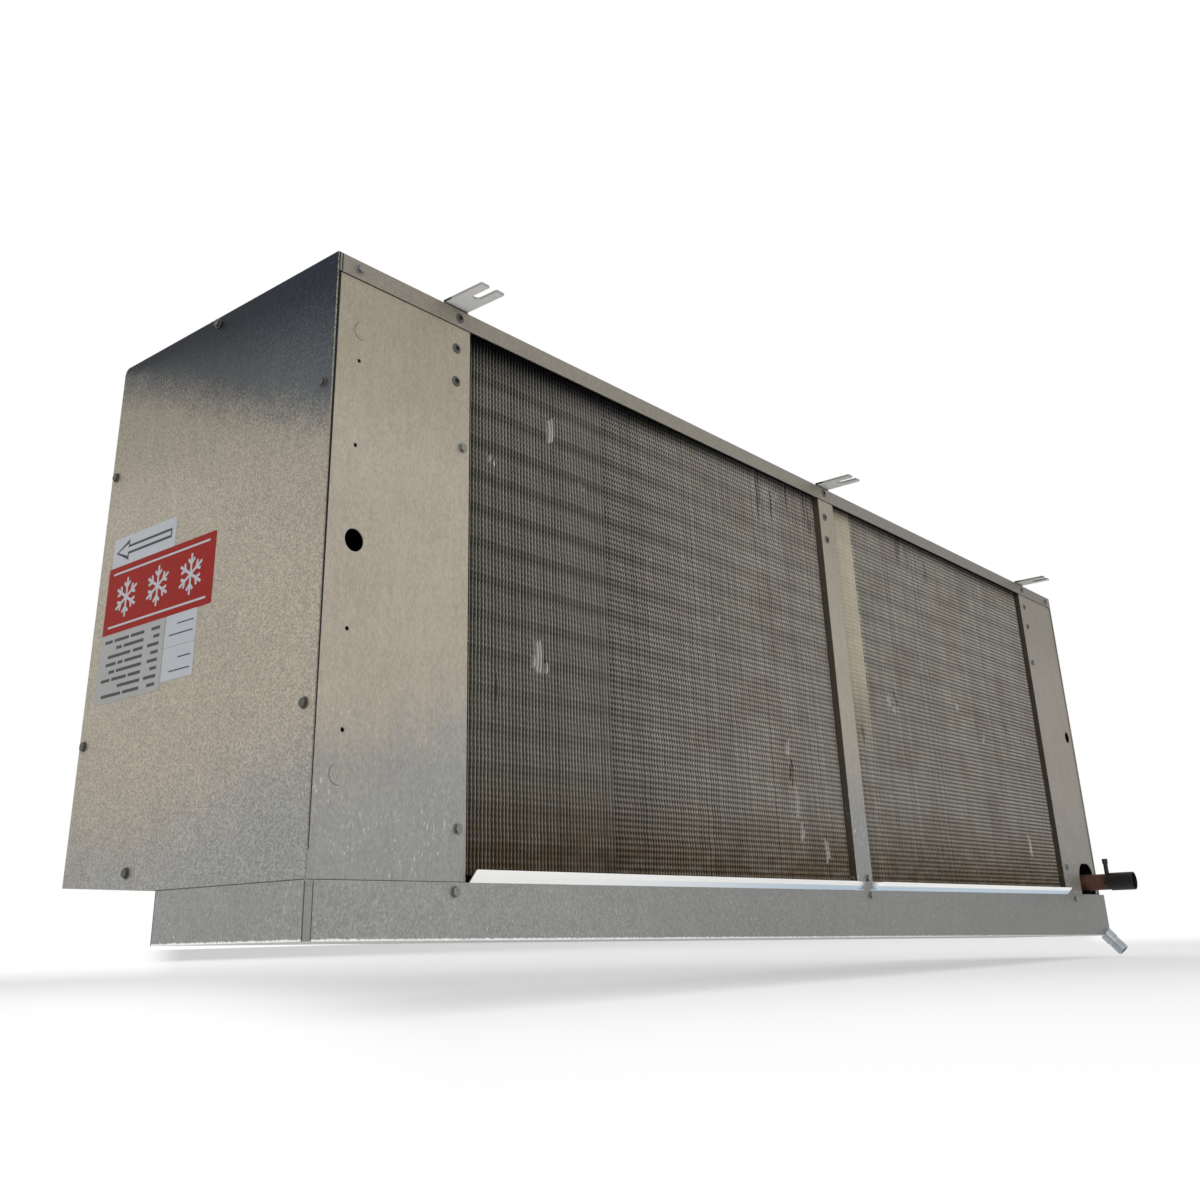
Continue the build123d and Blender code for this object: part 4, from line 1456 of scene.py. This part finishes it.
def model_dirty_joints(sheet, finish):
    """Lines of dirt where the front panels and the plain end meet the pan."""
    front_y = CABINET_FRONT + SHEET
    left_x = (CABINET_LEFT - SEAM_RISE, CABINET_LEFT + SEAM_RISE)
    base_z = (CABINET_BASE, CABINET_BASE + sheet.bead)
    # Each joint: the ends of its x, y and z
    spans = (
        ((LEFT_LOW.x, LEFT_HIGH.x), (front_y - SEAM_RISE, front_y + SEAM_RISE), base_z),
        ((RIGHT_LOW.x, RIGHT_HIGH.x), (front_y - SEAM_RISE, front_y + SEAM_RISE), base_z),
        (left_x, (CABINET_FRONT, PAN_HIGH.y), base_z),
        (left_x, (PAN_HIGH.y - sheet.bead, PAN_HIGH.y), (PAN_LEFT_FOOT, CABINET_BASE)),
    )
    return join([strip(*zip(*span), finish) for span in spans])


class EVAPORATOR_OT_add_seams(bpy.types.Operator):
    """Put the scored knock-outs, the painted shade in the open seams, the dirty joints and the pan's folded
    tab in place
    """

    bl_idname = "evaporator.add_seams"
    bl_label = "Add Knock-outs and Seams"

    def execute(self, context):
        sheet = settings("sheet")
        scored = plain_metal("scored_zinc", sheet.dirt, 0.3, 0.5)
        # Painted shade for the open gaps and under the flange
        open_seam = plain_metal("open_seam", sheet.seam, 0, 0.9)
        dirt = plain_metal("seam_dirt", sheet.dirt, 0, 0.8)
        dented = plain_metal("dented_zinc", sheet.pan, 0.4, 0.45, 0.7)
        places = front_places(KNOCKOUT_SHARES, CABINET_FRONT + SHEET)
        settle(spread(model_knockout(scored), places, turn=0), "scored_knockouts")
        settle(model_gap_shade_strips(sheet, open_seam), "open_seams")
        settle(model_dirty_joints(sheet, dirt), "dirty_joints")
        settle(model_pan_tab(sheet, dented, dirt), "pan_corner_tab")
        return {"FINISHED"}


# Labels
# Each label: shares of the end's depth and height that it spans, and its stock
LABEL_SHARES = {
    "flow_label": ((0.628, 0.939), (0.3695, 0.4254), "white"),
    "red_label": ((0.435, 0.949), (0.4254, 0.5525), "red"),
    "grey_label": ((0.636, 0.949), (0.5525, 0.678), "silver"),
    "upper_tag": ((0.491, 0.632), (0.5525, 0.6085), "white"),
    "lower_tag": ((0.491, 0.632), (0.6095, 0.666), "white"),
}
# Each printed bar: shares of its label's depth and height
PRINT_SHARES = {
    "red_label": (
        ((0.05, 0.95), (0.09, 0.12), "white"),
        ((0.05, 0.95), (0.88, 0.91), "white"),
    ),
    "upper_tag": (((0.1, 0.62), (0.30, 0.34), "ink"), ((0.1, 0.85), (0.62, 0.66), "ink")),
    "lower_tag": (((0.1, 0.5), (0.34, 0.38), "ink"), ((0.1, 0.75), (0.72, 0.76), "ink")),
}
# Rows of short marks on the grey label, each row's marks by their ends as shares of its depth
MARK_ROWS = (
    (0.07, 0.20, 0.31, 0.52, 0.55, 0.78, 0.81, 0.93),
    (0.07, 0.16, 0.31, 0.62, 0.65, 0.74),
    (0.07, 0.24, 0.31, 0.46, 0.50, 0.86),
    (0.07, 0.18, 0.31, 0.58, 0.61, 0.69, 0.72, 0.88),
    (0.07, 0.22, 0.31, 0.70, 0.73, 0.82),
    (0.07, 0.17, 0.31, 0.50, 0.53, 0.76, 0.79, 0.93),
    (0.07, 0.25, 0.31, 0.66),
    (0.07, 0.19, 0.31, 0.56, 0.59, 0.90),
)
# Height of a row of marks, and where each row starts, in rows of the whole label
MARK_SHARE = 0.045
ROWS_ABOVE = 0.8
ROWS_MORE = 0.9
# Where the flakes stand along the red label, and their reach as a share of its height
FLAKE_SHARES = (0.2, 0.5, 0.8)
FLAKE_REACH_SHARE = 0.29
FLAKE_ARMS = 6
# Each bar of an arm: where it starts and how long it is, as shares of the reach, and its lean
FLAKE_BARS = ((0, 1, 0), (0.5, 0.36, 0.8), (0.5, 0.36, -0.8))
# The arrow: shares of its label's depth and height, and of the end's for its outline
ARROW_TAIL_SHARE = 0.06
ARROW_NECK_SHARE = 0.74
ARROW_TIP_SHARE = 0.95
ARROW_HEAD_SHARE = 0.36
ARROW_SHAFT_SHARE = 0.16
ARROW_OUTLINE_SHARE = 0.005
# Widths of the mottling on the labels, and its relief
STOCK_MOTTLE = 6 * MM
RED_MOTTLE = 8 * MM
INK_MOTTLE = 2 * MM
STOCK_RELIEF = 0.02 * MM


def within(span, share):
    """A value inside a span, by its share."""
    return span[0] + share * (span[1] - span[0])


def end_slab(depths, drops, base, rise, finish):
    """A thin slab on the plain end, between shares of its depth and height."""
    low = on_end(depths[0], drops[1], CABINET_LEFT - base - rise)
    high = on_end(depths[1], drops[0], CABINET_LEFT - base)
    return coat(block(low, high), finish)


def model_label(name, finishes, kit):
    """One label with rounded corners, and what is printed on it."""
    depths, drops, stock = LABEL_SHARES[name]
    label = end_slab(depths, drops, 0, kit.rise, finishes[stock])
    open_edit(label)
    pick(label, lambda edge: abs((edge.verts[0].co - edge.verts[1].co).normalized().x) > 0.9, "EDGE")
    bpy.ops.mesh.bevel(offset=kit.corner, segments=4)
    close_edit()
    pieces = [label]
    for across, down, ink in PRINT_SHARES.get(name, ()):
        bar_depths = [within(depths, share) for share in across]
        bar_drops = [within(drops, share) for share in down]
        pieces.append(end_slab(bar_depths, bar_drops, kit.rise, kit.ink_rise, finishes[ink]))
    return pieces


def model_marks(finishes, kit):
    """Rows of short marks on the grey label."""
    depths, drops, _ = LABEL_SHARES["grey_label"]
    marks = []
    for row, ends in enumerate(MARK_ROWS):
        top = (row + ROWS_ABOVE) / (len(MARK_ROWS) + ROWS_MORE)
        mark_drops = [within(drops, top + share) for share in (0, MARK_SHARE)]
        for start, end in zip(ends[::2], ends[1::2]):
            mark_depths = [within(depths, share) for share in (start, end)]
            marks.append(end_slab(mark_depths, mark_drops, kit.rise, kit.ink_rise, finishes["ink"]))
    return marks


def model_flakes(finishes, kit):
    """Plain flakes on the red label, whose bars differ in height so that no two share a plane."""
    depths, drops, _ = LABEL_SHARES["red_label"]
    reach = FLAKE_REACH_SHARE * (drops[1] - drops[0]) * CABINET_HEIGHT
    half = reach / 14
    bars = []
    for share in FLAKE_SHARES:
        centre = on_end(within(depths, share), within(drops, 0.5), CABINET_LEFT - kit.rise)
        for step in range(FLAKE_ARMS):
            arm = Matrix.Translation(centre) @ Matrix.Rotation(step * 2 * pi / FLAKE_ARMS, 4, "X")
            for order, (root, span, lean) in enumerate(FLAKE_BARS):
                rise = kit.ink_rise * (1 + 0.1 * step + 0.6 * order)
                bar = block(Vector((-rise, -half, 0)), Vector((0, half, span * reach)))
                branch = Matrix.Translation((0, 0, root * reach)) @ Matrix.Rotation(lean, 4, "X")
                bar.matrix_world = arm @ branch
                apply_place()
                bars.append(coat(bar, finishes["white"]))
    return bars


def model_arrow(inset, base, rise, finish):
    """A flat arrow on the flow label, with its head towards the fans."""
    depths, drops, _ = LABEL_SHARES["flow_label"]
    middle = within(drops, 0.5)
    neck = within(depths, ARROW_NECK_SHARE) + inset
    head_half = ARROW_HEAD_SHARE * (drops[1] - drops[0]) - 1.7 * inset
    shaft_half = ARROW_SHAFT_SHARE * (drops[1] - drops[0]) - inset
    tail = within(depths, ARROW_TAIL_SHARE) + inset
    tip = within(depths, ARROW_TIP_SHARE) - 2.2 * inset
    shaft = end_slab((tail, neck), (middle - shaft_half, middle + shaft_half), base, rise, finish)
    head = end_slab((neck, tip), (middle - head_half, middle + head_half), base, rise, finish)
    open_edit(head)
    pick(head, lambda face: face.normal.y > 0.9)
    bpy.ops.transform.resize(value=(1, 1, 0))
    bpy.ops.mesh.select_all(action="SELECT")
    bpy.ops.mesh.remove_doubles(threshold=rise / 4)
    close_edit()
    return [shaft, head]


class EVAPORATOR_OT_add_labels(bpy.types.Operator):
    """Put the bare labels and the plain air-flow arrow on the end panel"""

    bl_idname = "evaporator.add_labels"
    bl_label = "Add Labels"

    def execute(self, context):
        kit = settings("label")
        finishes = {
            "white": plain_metal("white_stock", kit.white, 0, 0.45, 0.16, STOCK_MOTTLE, STOCK_RELIEF),
            "silver": plain_metal(
                "silver_stock", kit.silver, 0.2, 0.5, 0.2, STOCK_MOTTLE, STOCK_RELIEF, 0.2
            ),
            "red": plain_metal("red_stock", kit.red, 0, 0.5, 0.2, RED_MOTTLE, STOCK_RELIEF, 0.15),
            "ink": plain_metal("label_ink", kit.ink, 0, 0.5, 0.3, INK_MOTTLE, STOCK_RELIEF / 2),
        }
        for name in LABEL_SHARES:
            pieces = model_label(name, finishes, kit)
            if name == "flow_label":
                pieces += model_arrow(0, kit.rise, kit.ink_rise, finishes["ink"])
                pieces += model_arrow(
                    ARROW_OUTLINE_SHARE, kit.rise, 2 * kit.ink_rise, finishes["white"]
                )
            elif name == "grey_label":
                pieces += model_marks(finishes, kit)
            elif name == "red_label":
                pieces += model_flakes(finishes, kit)
            settle(join(pieces), name)
        return {"FINISHED"}


# Pipework
MOUNTS = {mount["name"]: mount for mount in frame["record"]["mounts"]}
# Where the burnt part of the stub starts and ends in front of the cabinet, and how far it frays
BURN_START = 8 * MM
BURN_END = 28 * MM
BURN_PUSH = 26 * MM
BURN_SIZE = 7 * MM
BLOTCH_SIZE = 9 * MM
SCALE_SIZE = 2 * MM
SCALE_RELIEF = 0.25 * MM
# The part of the drain stub that is threaded
THREAD_SHARE = 0.8


def scorched_copper(pipe):
    """Copper that is browned at the cabinet and burnt black towards its open end."""
    finish = Finish("scorched_copper")
    frayed = finish.scaled(finish.grain(BURN_SIZE, 4), BURN_PUSH, finish.y)
    burnt = finish.fade(frayed, CABINET_FRONT - BURN_START, CABINET_FRONT - BURN_END)
    scale = finish.grain(SCALE_SIZE, 4)
    blotch = finish.grain(BLOTCH_SIZE, 3)
    tone = finish.brighten(pipe.copper, finish.swing((scale, 0.9), (blotch, 1.1)))
    char = finish.brighten(pipe.scorched, finish.swing((scale, 1.2)))
    tone = finish.mix(burnt, tone, char)
    rough = finish.scaled(scale, 0.25, 0.4)
    return finish.surface(tone, 0.35, rough, finish.bump(scale, SCALE_RELIEF))


def ring_at(point, outward, radius, bead, finish):
    """A round bead of solder or rolled metal about an axis."""
    deselect_all()
    bpy.ops.mesh.primitive_torus_add(
        major_radius=radius, minor_radius=bead, major_segments=40, minor_segments=10
    )
    ring = bpy.context.object
    ring.matrix_world = Matrix.Translation(point) @ face_turn(outward)
    apply_place()
    bpy.ops.object.shade_smooth_by_angle(angle=radians(60))
    return coat(ring, finish)


class EVAPORATOR_OT_add_pipework(bpy.types.Operator):
    """Finish the suction pipe, access valve and drain stub, with brazing and a thread"""

    bl_idname = "evaporator.add_pipework"
    bl_label = "Add Pipework Details"

    def execute(self, context):
        pipe = settings("pipe")
        copper = scorched_copper(pipe)
        dress("suction_pipe", copper)
        dress("access_valve", plain_metal("burnt_valve", pipe.brass, 0.3, 0.6, 0.8))
        bends = plain_metal("bend_copper", pipe.copper, 0.6, 0.45)
        dress("left_return_bends", bends)
        dress("right_return_bends", bends)
        drain = plain_metal("drain_zinc", pipe.drain, 0.7, 0.4, 0.5)
        dress("drain_fitting", drain)
        socket = MOUNTS["suction_socket"]
        bore = socket["dims"]["r_mm"] * MM
        reach = socket["dims"]["length_mm"] * MM
        middle = Vector(socket["pos_m"])
        outward = Vector(socket["axis"])
        beads = [
            ring_at(middle + outward * reach / 2, outward, bore + pipe.braze / 2, pipe.braze / 2, copper),
            ring_at(middle - outward * reach / 2, outward, bore + pipe.braze / 3, pipe.braze, copper),
        ]
        settle(join(beads), "suction_brazing")
        stub = MOUNTS["drain_thread"]
        axis = Vector(stub["axis"])
        centre = Vector(stub["pos_m"])
        radius = stub["dims"]["r_mm"] * MM
        span = stub["dims"]["length_mm"] * MM
        turns = floor(THREAD_SHARE * span / pipe.thread)
        threads = []
        for turn in range(turns):
            place = centre + axis * (span / 2 - (turn + 0.6) * pipe.thread)
            threads.append(ring_at(place, axis, radius, pipe.thread_rise, drain))
        settle(join(threads), "drain_thread_ridges")
        return {"FINISHED"}


# Fan side
# Where the seams run round a motor, as shares of its length
MOTOR_SEAM_SHARES = (0.12, 0.2, 0.8, 0.88)
BLADE_MOTTLE = 5 * MM
PAINT_MOTTLE = 1.2 * MM


def wire_guard(side, fan, finish):
    """A round wire guard: rings on radial spokes."""
    low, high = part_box("fan_guard_" + side)
    centre = (low + high) / 2
    rim = (high.x - low.x) / 2 - fan.wire
    pieces = []
    for ring in range(fan.rings):
        radius = rim - ring * fan.ring_step
        plane = Vector((centre.x, low.y + fan.wire, centre.z))
        pieces.append(ring_at(plane, Y_AXIS, radius, fan.wire, finish))
    inner = rim - (fan.rings - 1) * fan.ring_step
    for spoke in range(fan.spokes):
        turn = 2 * pi * spoke / fan.spokes
        across = Vector((cos(turn), 0, sin(turn)))
        middle = Vector((centre.x, low.y + 2.6 * fan.wire, centre.z)) + across * (rim + inner) / 2
        deselect_all()
        bpy.ops.mesh.primitive_cylinder_add(vertices=10, radius=fan.wire, depth=rim - inner + 2 * fan.wire)
        wire = bpy.context.object
        wire.matrix_world = Matrix.Translation(middle) @ face_turn(across)
        apply_place()
        round_edges(wire, fan.wire / 3)
        pieces.append(coat(wire, finish))
    return join(pieces)


def motor_trim(side, fan, finish):
    """End-bell seams round a fan motor's shell."""
    low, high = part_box("fan_motor_" + side)
    centre = (low + high) / 2
    radius = min(high.x - low.x, high.z - low.z) / 2
    pieces = []
    for share in MOTOR_SEAM_SHARES:
        place = Vector((centre.x, low.y + share * (high.y - low.y), centre.z))
        pieces.append(ring_at(place, Y_AXIS, radius, radius / 40, finish))
    return join(pieces)


class EVAPORATOR_OT_add_fan_side(bpy.types.Operator):
    """Finish the fans and motors, and model the wire guards"""

    bl_idname = "evaporator.add_fan_side"
    bl_label = "Add Fan Side Details"

    def execute(self, context):
        fan = settings("fan")
        steel = plain_metal("guard_wire", fan.steel, 0.7, 0.35)
        blade = plain_metal("blade_aluminium", fan.blade, 0.8, 0.4, 0.3, BLADE_MOTTLE)
        paint = plain_metal("motor_paint", fan.paint, 0, 0.45, 0.3, PAINT_MOTTLE)
        for side in ("left", "right"):
            dress("fan_blades_" + side, blade)
            dress("fan_motor_" + side, paint)
            settle(wire_guard(side, fan, steel), "wire_guard_" + side, ["fan_guard_" + side])
            settle(motor_trim(side, fan, paint), "motor_seams_" + side)
        return {"FINISHED"}


# Stage
LAMP_SIZE = 3
# Each lamp: its name, where it hangs in metres, and its power
LAMPS = (
    ("key_lamp", (-3.9, -2.6, 1.9), 58),
    ("fill_lamp", (3.5, -3.5, 0.8), 14),
    ("rear_lamp", (0.5, 4.5, 1.6), 40),
)
ROOM_LIGHT = 0.58
FLOOR_SIZE = 60
# The floor turns from white to shaded over a run that starts nearer towards the piped end, by its
# direction from where the camera stands, and is white again far out to both sides of the unit
UNIT_TURN = radians(51.4)
UNIT_INNER = radians(18.5)
UNIT_OUTER = radians(20.5)
NEAR_TURNS = (radians(28), radians(45))
NEAR_EDGES = (1.4, 0.4)
SHADE_RUN = 2
SHADE_TURNS = (radians(30), radians(70))
LEAST_WHITE_SHARES = (0.1, 0.45)
CLEAR_EDGES = (2, 6)


def camera_turn(stage):
    """The camera's turn from its heading, climb and roll."""
    heading, climb, roll = (radians(value) for value in (stage.heading, stage.climb, stage.roll))
    ahead = Vector((sin(heading) * cos(climb), cos(heading) * cos(climb), sin(climb)))
    level_right = ahead.cross(Z_AXIS).normalized()
    level_down = ahead.cross(level_right)
    right = cos(roll) * level_right + sin(roll) * level_down
    down = cos(roll) * level_down - sin(roll) * level_right
    return Matrix((right, -down, -ahead)).transposed().to_4x4()


def place_camera(stage):
    """The camera at its place, turn and lens."""
    deselect_all()
    bpy.ops.object.camera_add()
    camera = bpy.context.object
    camera.name = "photo_camera"
    camera.matrix_world = Matrix.Translation(stage.place) @ camera_turn(stage)
    camera.data.lens = stage.lens
    camera.data.shift_x = stage.across
    camera.data.shift_y = stage.up
    return camera


def hang_lamps():
    """Soft square lamps, all turned to the unit's middle."""
    middle = (frame_box[0] + frame_box[1]) / 2
    for name, place, power in LAMPS:
        bpy.ops.object.light_add(type="AREA", location=place)
        lamp = bpy.context.object
        lamp.name = name
        lamp.data.size = LAMP_SIZE
        lamp.data.energy = power
        lamp.rotation_euler = (middle - lamp.location).to_track_quat("-Z", "Y").to_euler()


def pale_room():
    """A world that lights softly and shows white to the camera, in gloss and through glass."""
    world = bpy.data.worlds.new("pale_room")
    room = Nodes(world)
    path = room.add("ShaderNodeLightPath").outputs
    seen = room.most(path["Is Camera Ray"], path["Is Glossy Ray"], path["Is Transmission Ray"])
    light = room.add("ShaderNodeBackground", {"Color": WHITE, "Strength": ROOM_LIGHT})
    backdrop = room.add("ShaderNodeBackground", {"Color": WHITE, "Strength": 1})
    blend = room.add("ShaderNodeMixShader", {0: seen, 1: light.outputs[0], 2: backdrop.outputs[0]})
    room.add("ShaderNodeOutputWorld", {"Surface": blend.outputs[0]})
    return world


def floor_finish(stage, level):
    """Pale floor that keeps the unit's shadow, turns white with distance and is clear from below."""
    finish = Finish("pale_floor")
    path = finish.add("ShaderNodeLightPath").outputs
    stand = (stage.place[0], stage.place[1], level)
    away = finish.add("ShaderNodeVectorMath", {0: finish.place, 1: stand}, operation="DISTANCE")
    away = away.outputs["Value"]
    turn = finish.math("ARCTAN2", finish.less(finish.x, stand[0]), finish.less(finish.y, stand[1]))
    beside = finish.less(1, finish.near(turn, UNIT_TURN, UNIT_INNER, UNIT_OUTER))
    clear_far = finish.times(beside, finish.fade(away, *CLEAR_EDGES))
    near_edge = finish.fade(turn, *NEAR_TURNS, *NEAR_EDGES)
    far_edge = finish.math("ADD", near_edge, SHADE_RUN)
    least = finish.fade(turn, *SHADE_TURNS, *LEAST_WHITE_SHARES)
    white = finish.most(finish.fade(away, near_edge, far_edge, 1, least), clear_far)
    white = finish.times(path["Is Camera Ray"], white)
    white = finish.most(white, path["Is Glossy Ray"], path["Is Transmission Ray"])
    matt = finish.add("ShaderNodeBsdfDiffuse", {"Color": solid(stage.floor)})
    bright = finish.add("ShaderNodeEmission", {"Color": WHITE, "Strength": 1})
    shown = finish.add("ShaderNodeMixShader", {0: white, 1: matt.outputs[0], 2: bright.outputs[0]})
    clear = finish.add("ShaderNodeBsdfTransparent")
    below = finish.add("ShaderNodeNewGeometry").outputs["Backfacing"]
    whole = finish.add("ShaderNodeMixShader", {0: below, 1: shown.outputs[0], 2: clear.outputs[0]})
    finish.add("ShaderNodeOutputMaterial", {"Surface": whole.outputs[0]})
    return finish.material


class EVAPORATOR_OT_set_stage(bpy.types.Operator):
    """Put up the camera, soft lamps, world and pale floor"""

    bl_idname = "evaporator.set_stage"
    bl_label = "Set Stage"

    def execute(self, context):
        stage = settings("stage")
        scene = context.scene
        scene.view_settings.view_transform = "Standard"
        scene.camera = place_camera(stage)
        hang_lamps()
        scene.world = pale_room()
        level = frame_box[0].z - stage.floor_gap
        deselect_all()
        bpy.ops.mesh.primitive_plane_add(size=FLOOR_SIZE, location=(0, 0, level))
        ground = context.object
        ground.name = "pale_floor"
        apply_place()
        coat(ground, floor_finish(stage, level))
        return {"FINISHED"}


OPERATORS = (
    EVAPORATOR_OT_finish_cabinet,
    EVAPORATOR_OT_add_coil,
    EVAPORATOR_OT_add_fasteners,
    EVAPORATOR_OT_add_seams,
    EVAPORATOR_OT_add_labels,
    EVAPORATOR_OT_add_pipework,
    EVAPORATOR_OT_add_fan_side,
    EVAPORATOR_OT_set_stage,
)


class EVAPORATOR_PT_parts(bpy.types.Panel):
    """The evaporator's pieces and finishes"""

    bl_idname = "EVAPORATOR_PT_parts"
    bl_label = "Evaporator"
    bl_space_type = "VIEW_3D"
    bl_region_type = "UI"
    bl_category = "Evaporator"

    def draw(self, context):
        for operator in OPERATORS:
            self.layout.operator(operator.bl_idname)
        for name, group in GROUPS.items():
            box = self.layout.box()
            box.label(text=group.__doc__)
            for value in group.__annotations__:
                box.prop(getattr(context.scene, name), value)


def register():
    for group in GROUPS.values():
        bpy.utils.register_class(group)
    for name, group in GROUPS.items():
        setattr(bpy.types.Scene, name, PointerProperty(type=group))
    for operator in OPERATORS:
        bpy.utils.register_class(operator)
    bpy.utils.register_class(EVAPORATOR_PT_parts)


def unregister():
    bpy.utils.unregister_class(EVAPORATOR_PT_parts)
    for operator in reversed(OPERATORS):
        bpy.utils.unregister_class(operator)
    for name, group in reversed(GROUPS.items()):
        delattr(bpy.types.Scene, name)
        bpy.utils.unregister_class(group)


def main():
    """Dress the whole unit."""
    register()
    bpy.ops.evaporator.finish_cabinet()
    bpy.ops.evaporator.add_coil()
    bpy.ops.evaporator.add_fasteners()
    bpy.ops.evaporator.add_seams()
    bpy.ops.evaporator.add_labels()
    bpy.ops.evaporator.add_pipework()
    bpy.ops.evaporator.add_fan_side()
    bpy.ops.evaporator.set_stage()


if __name__ == "__main__":
    main()
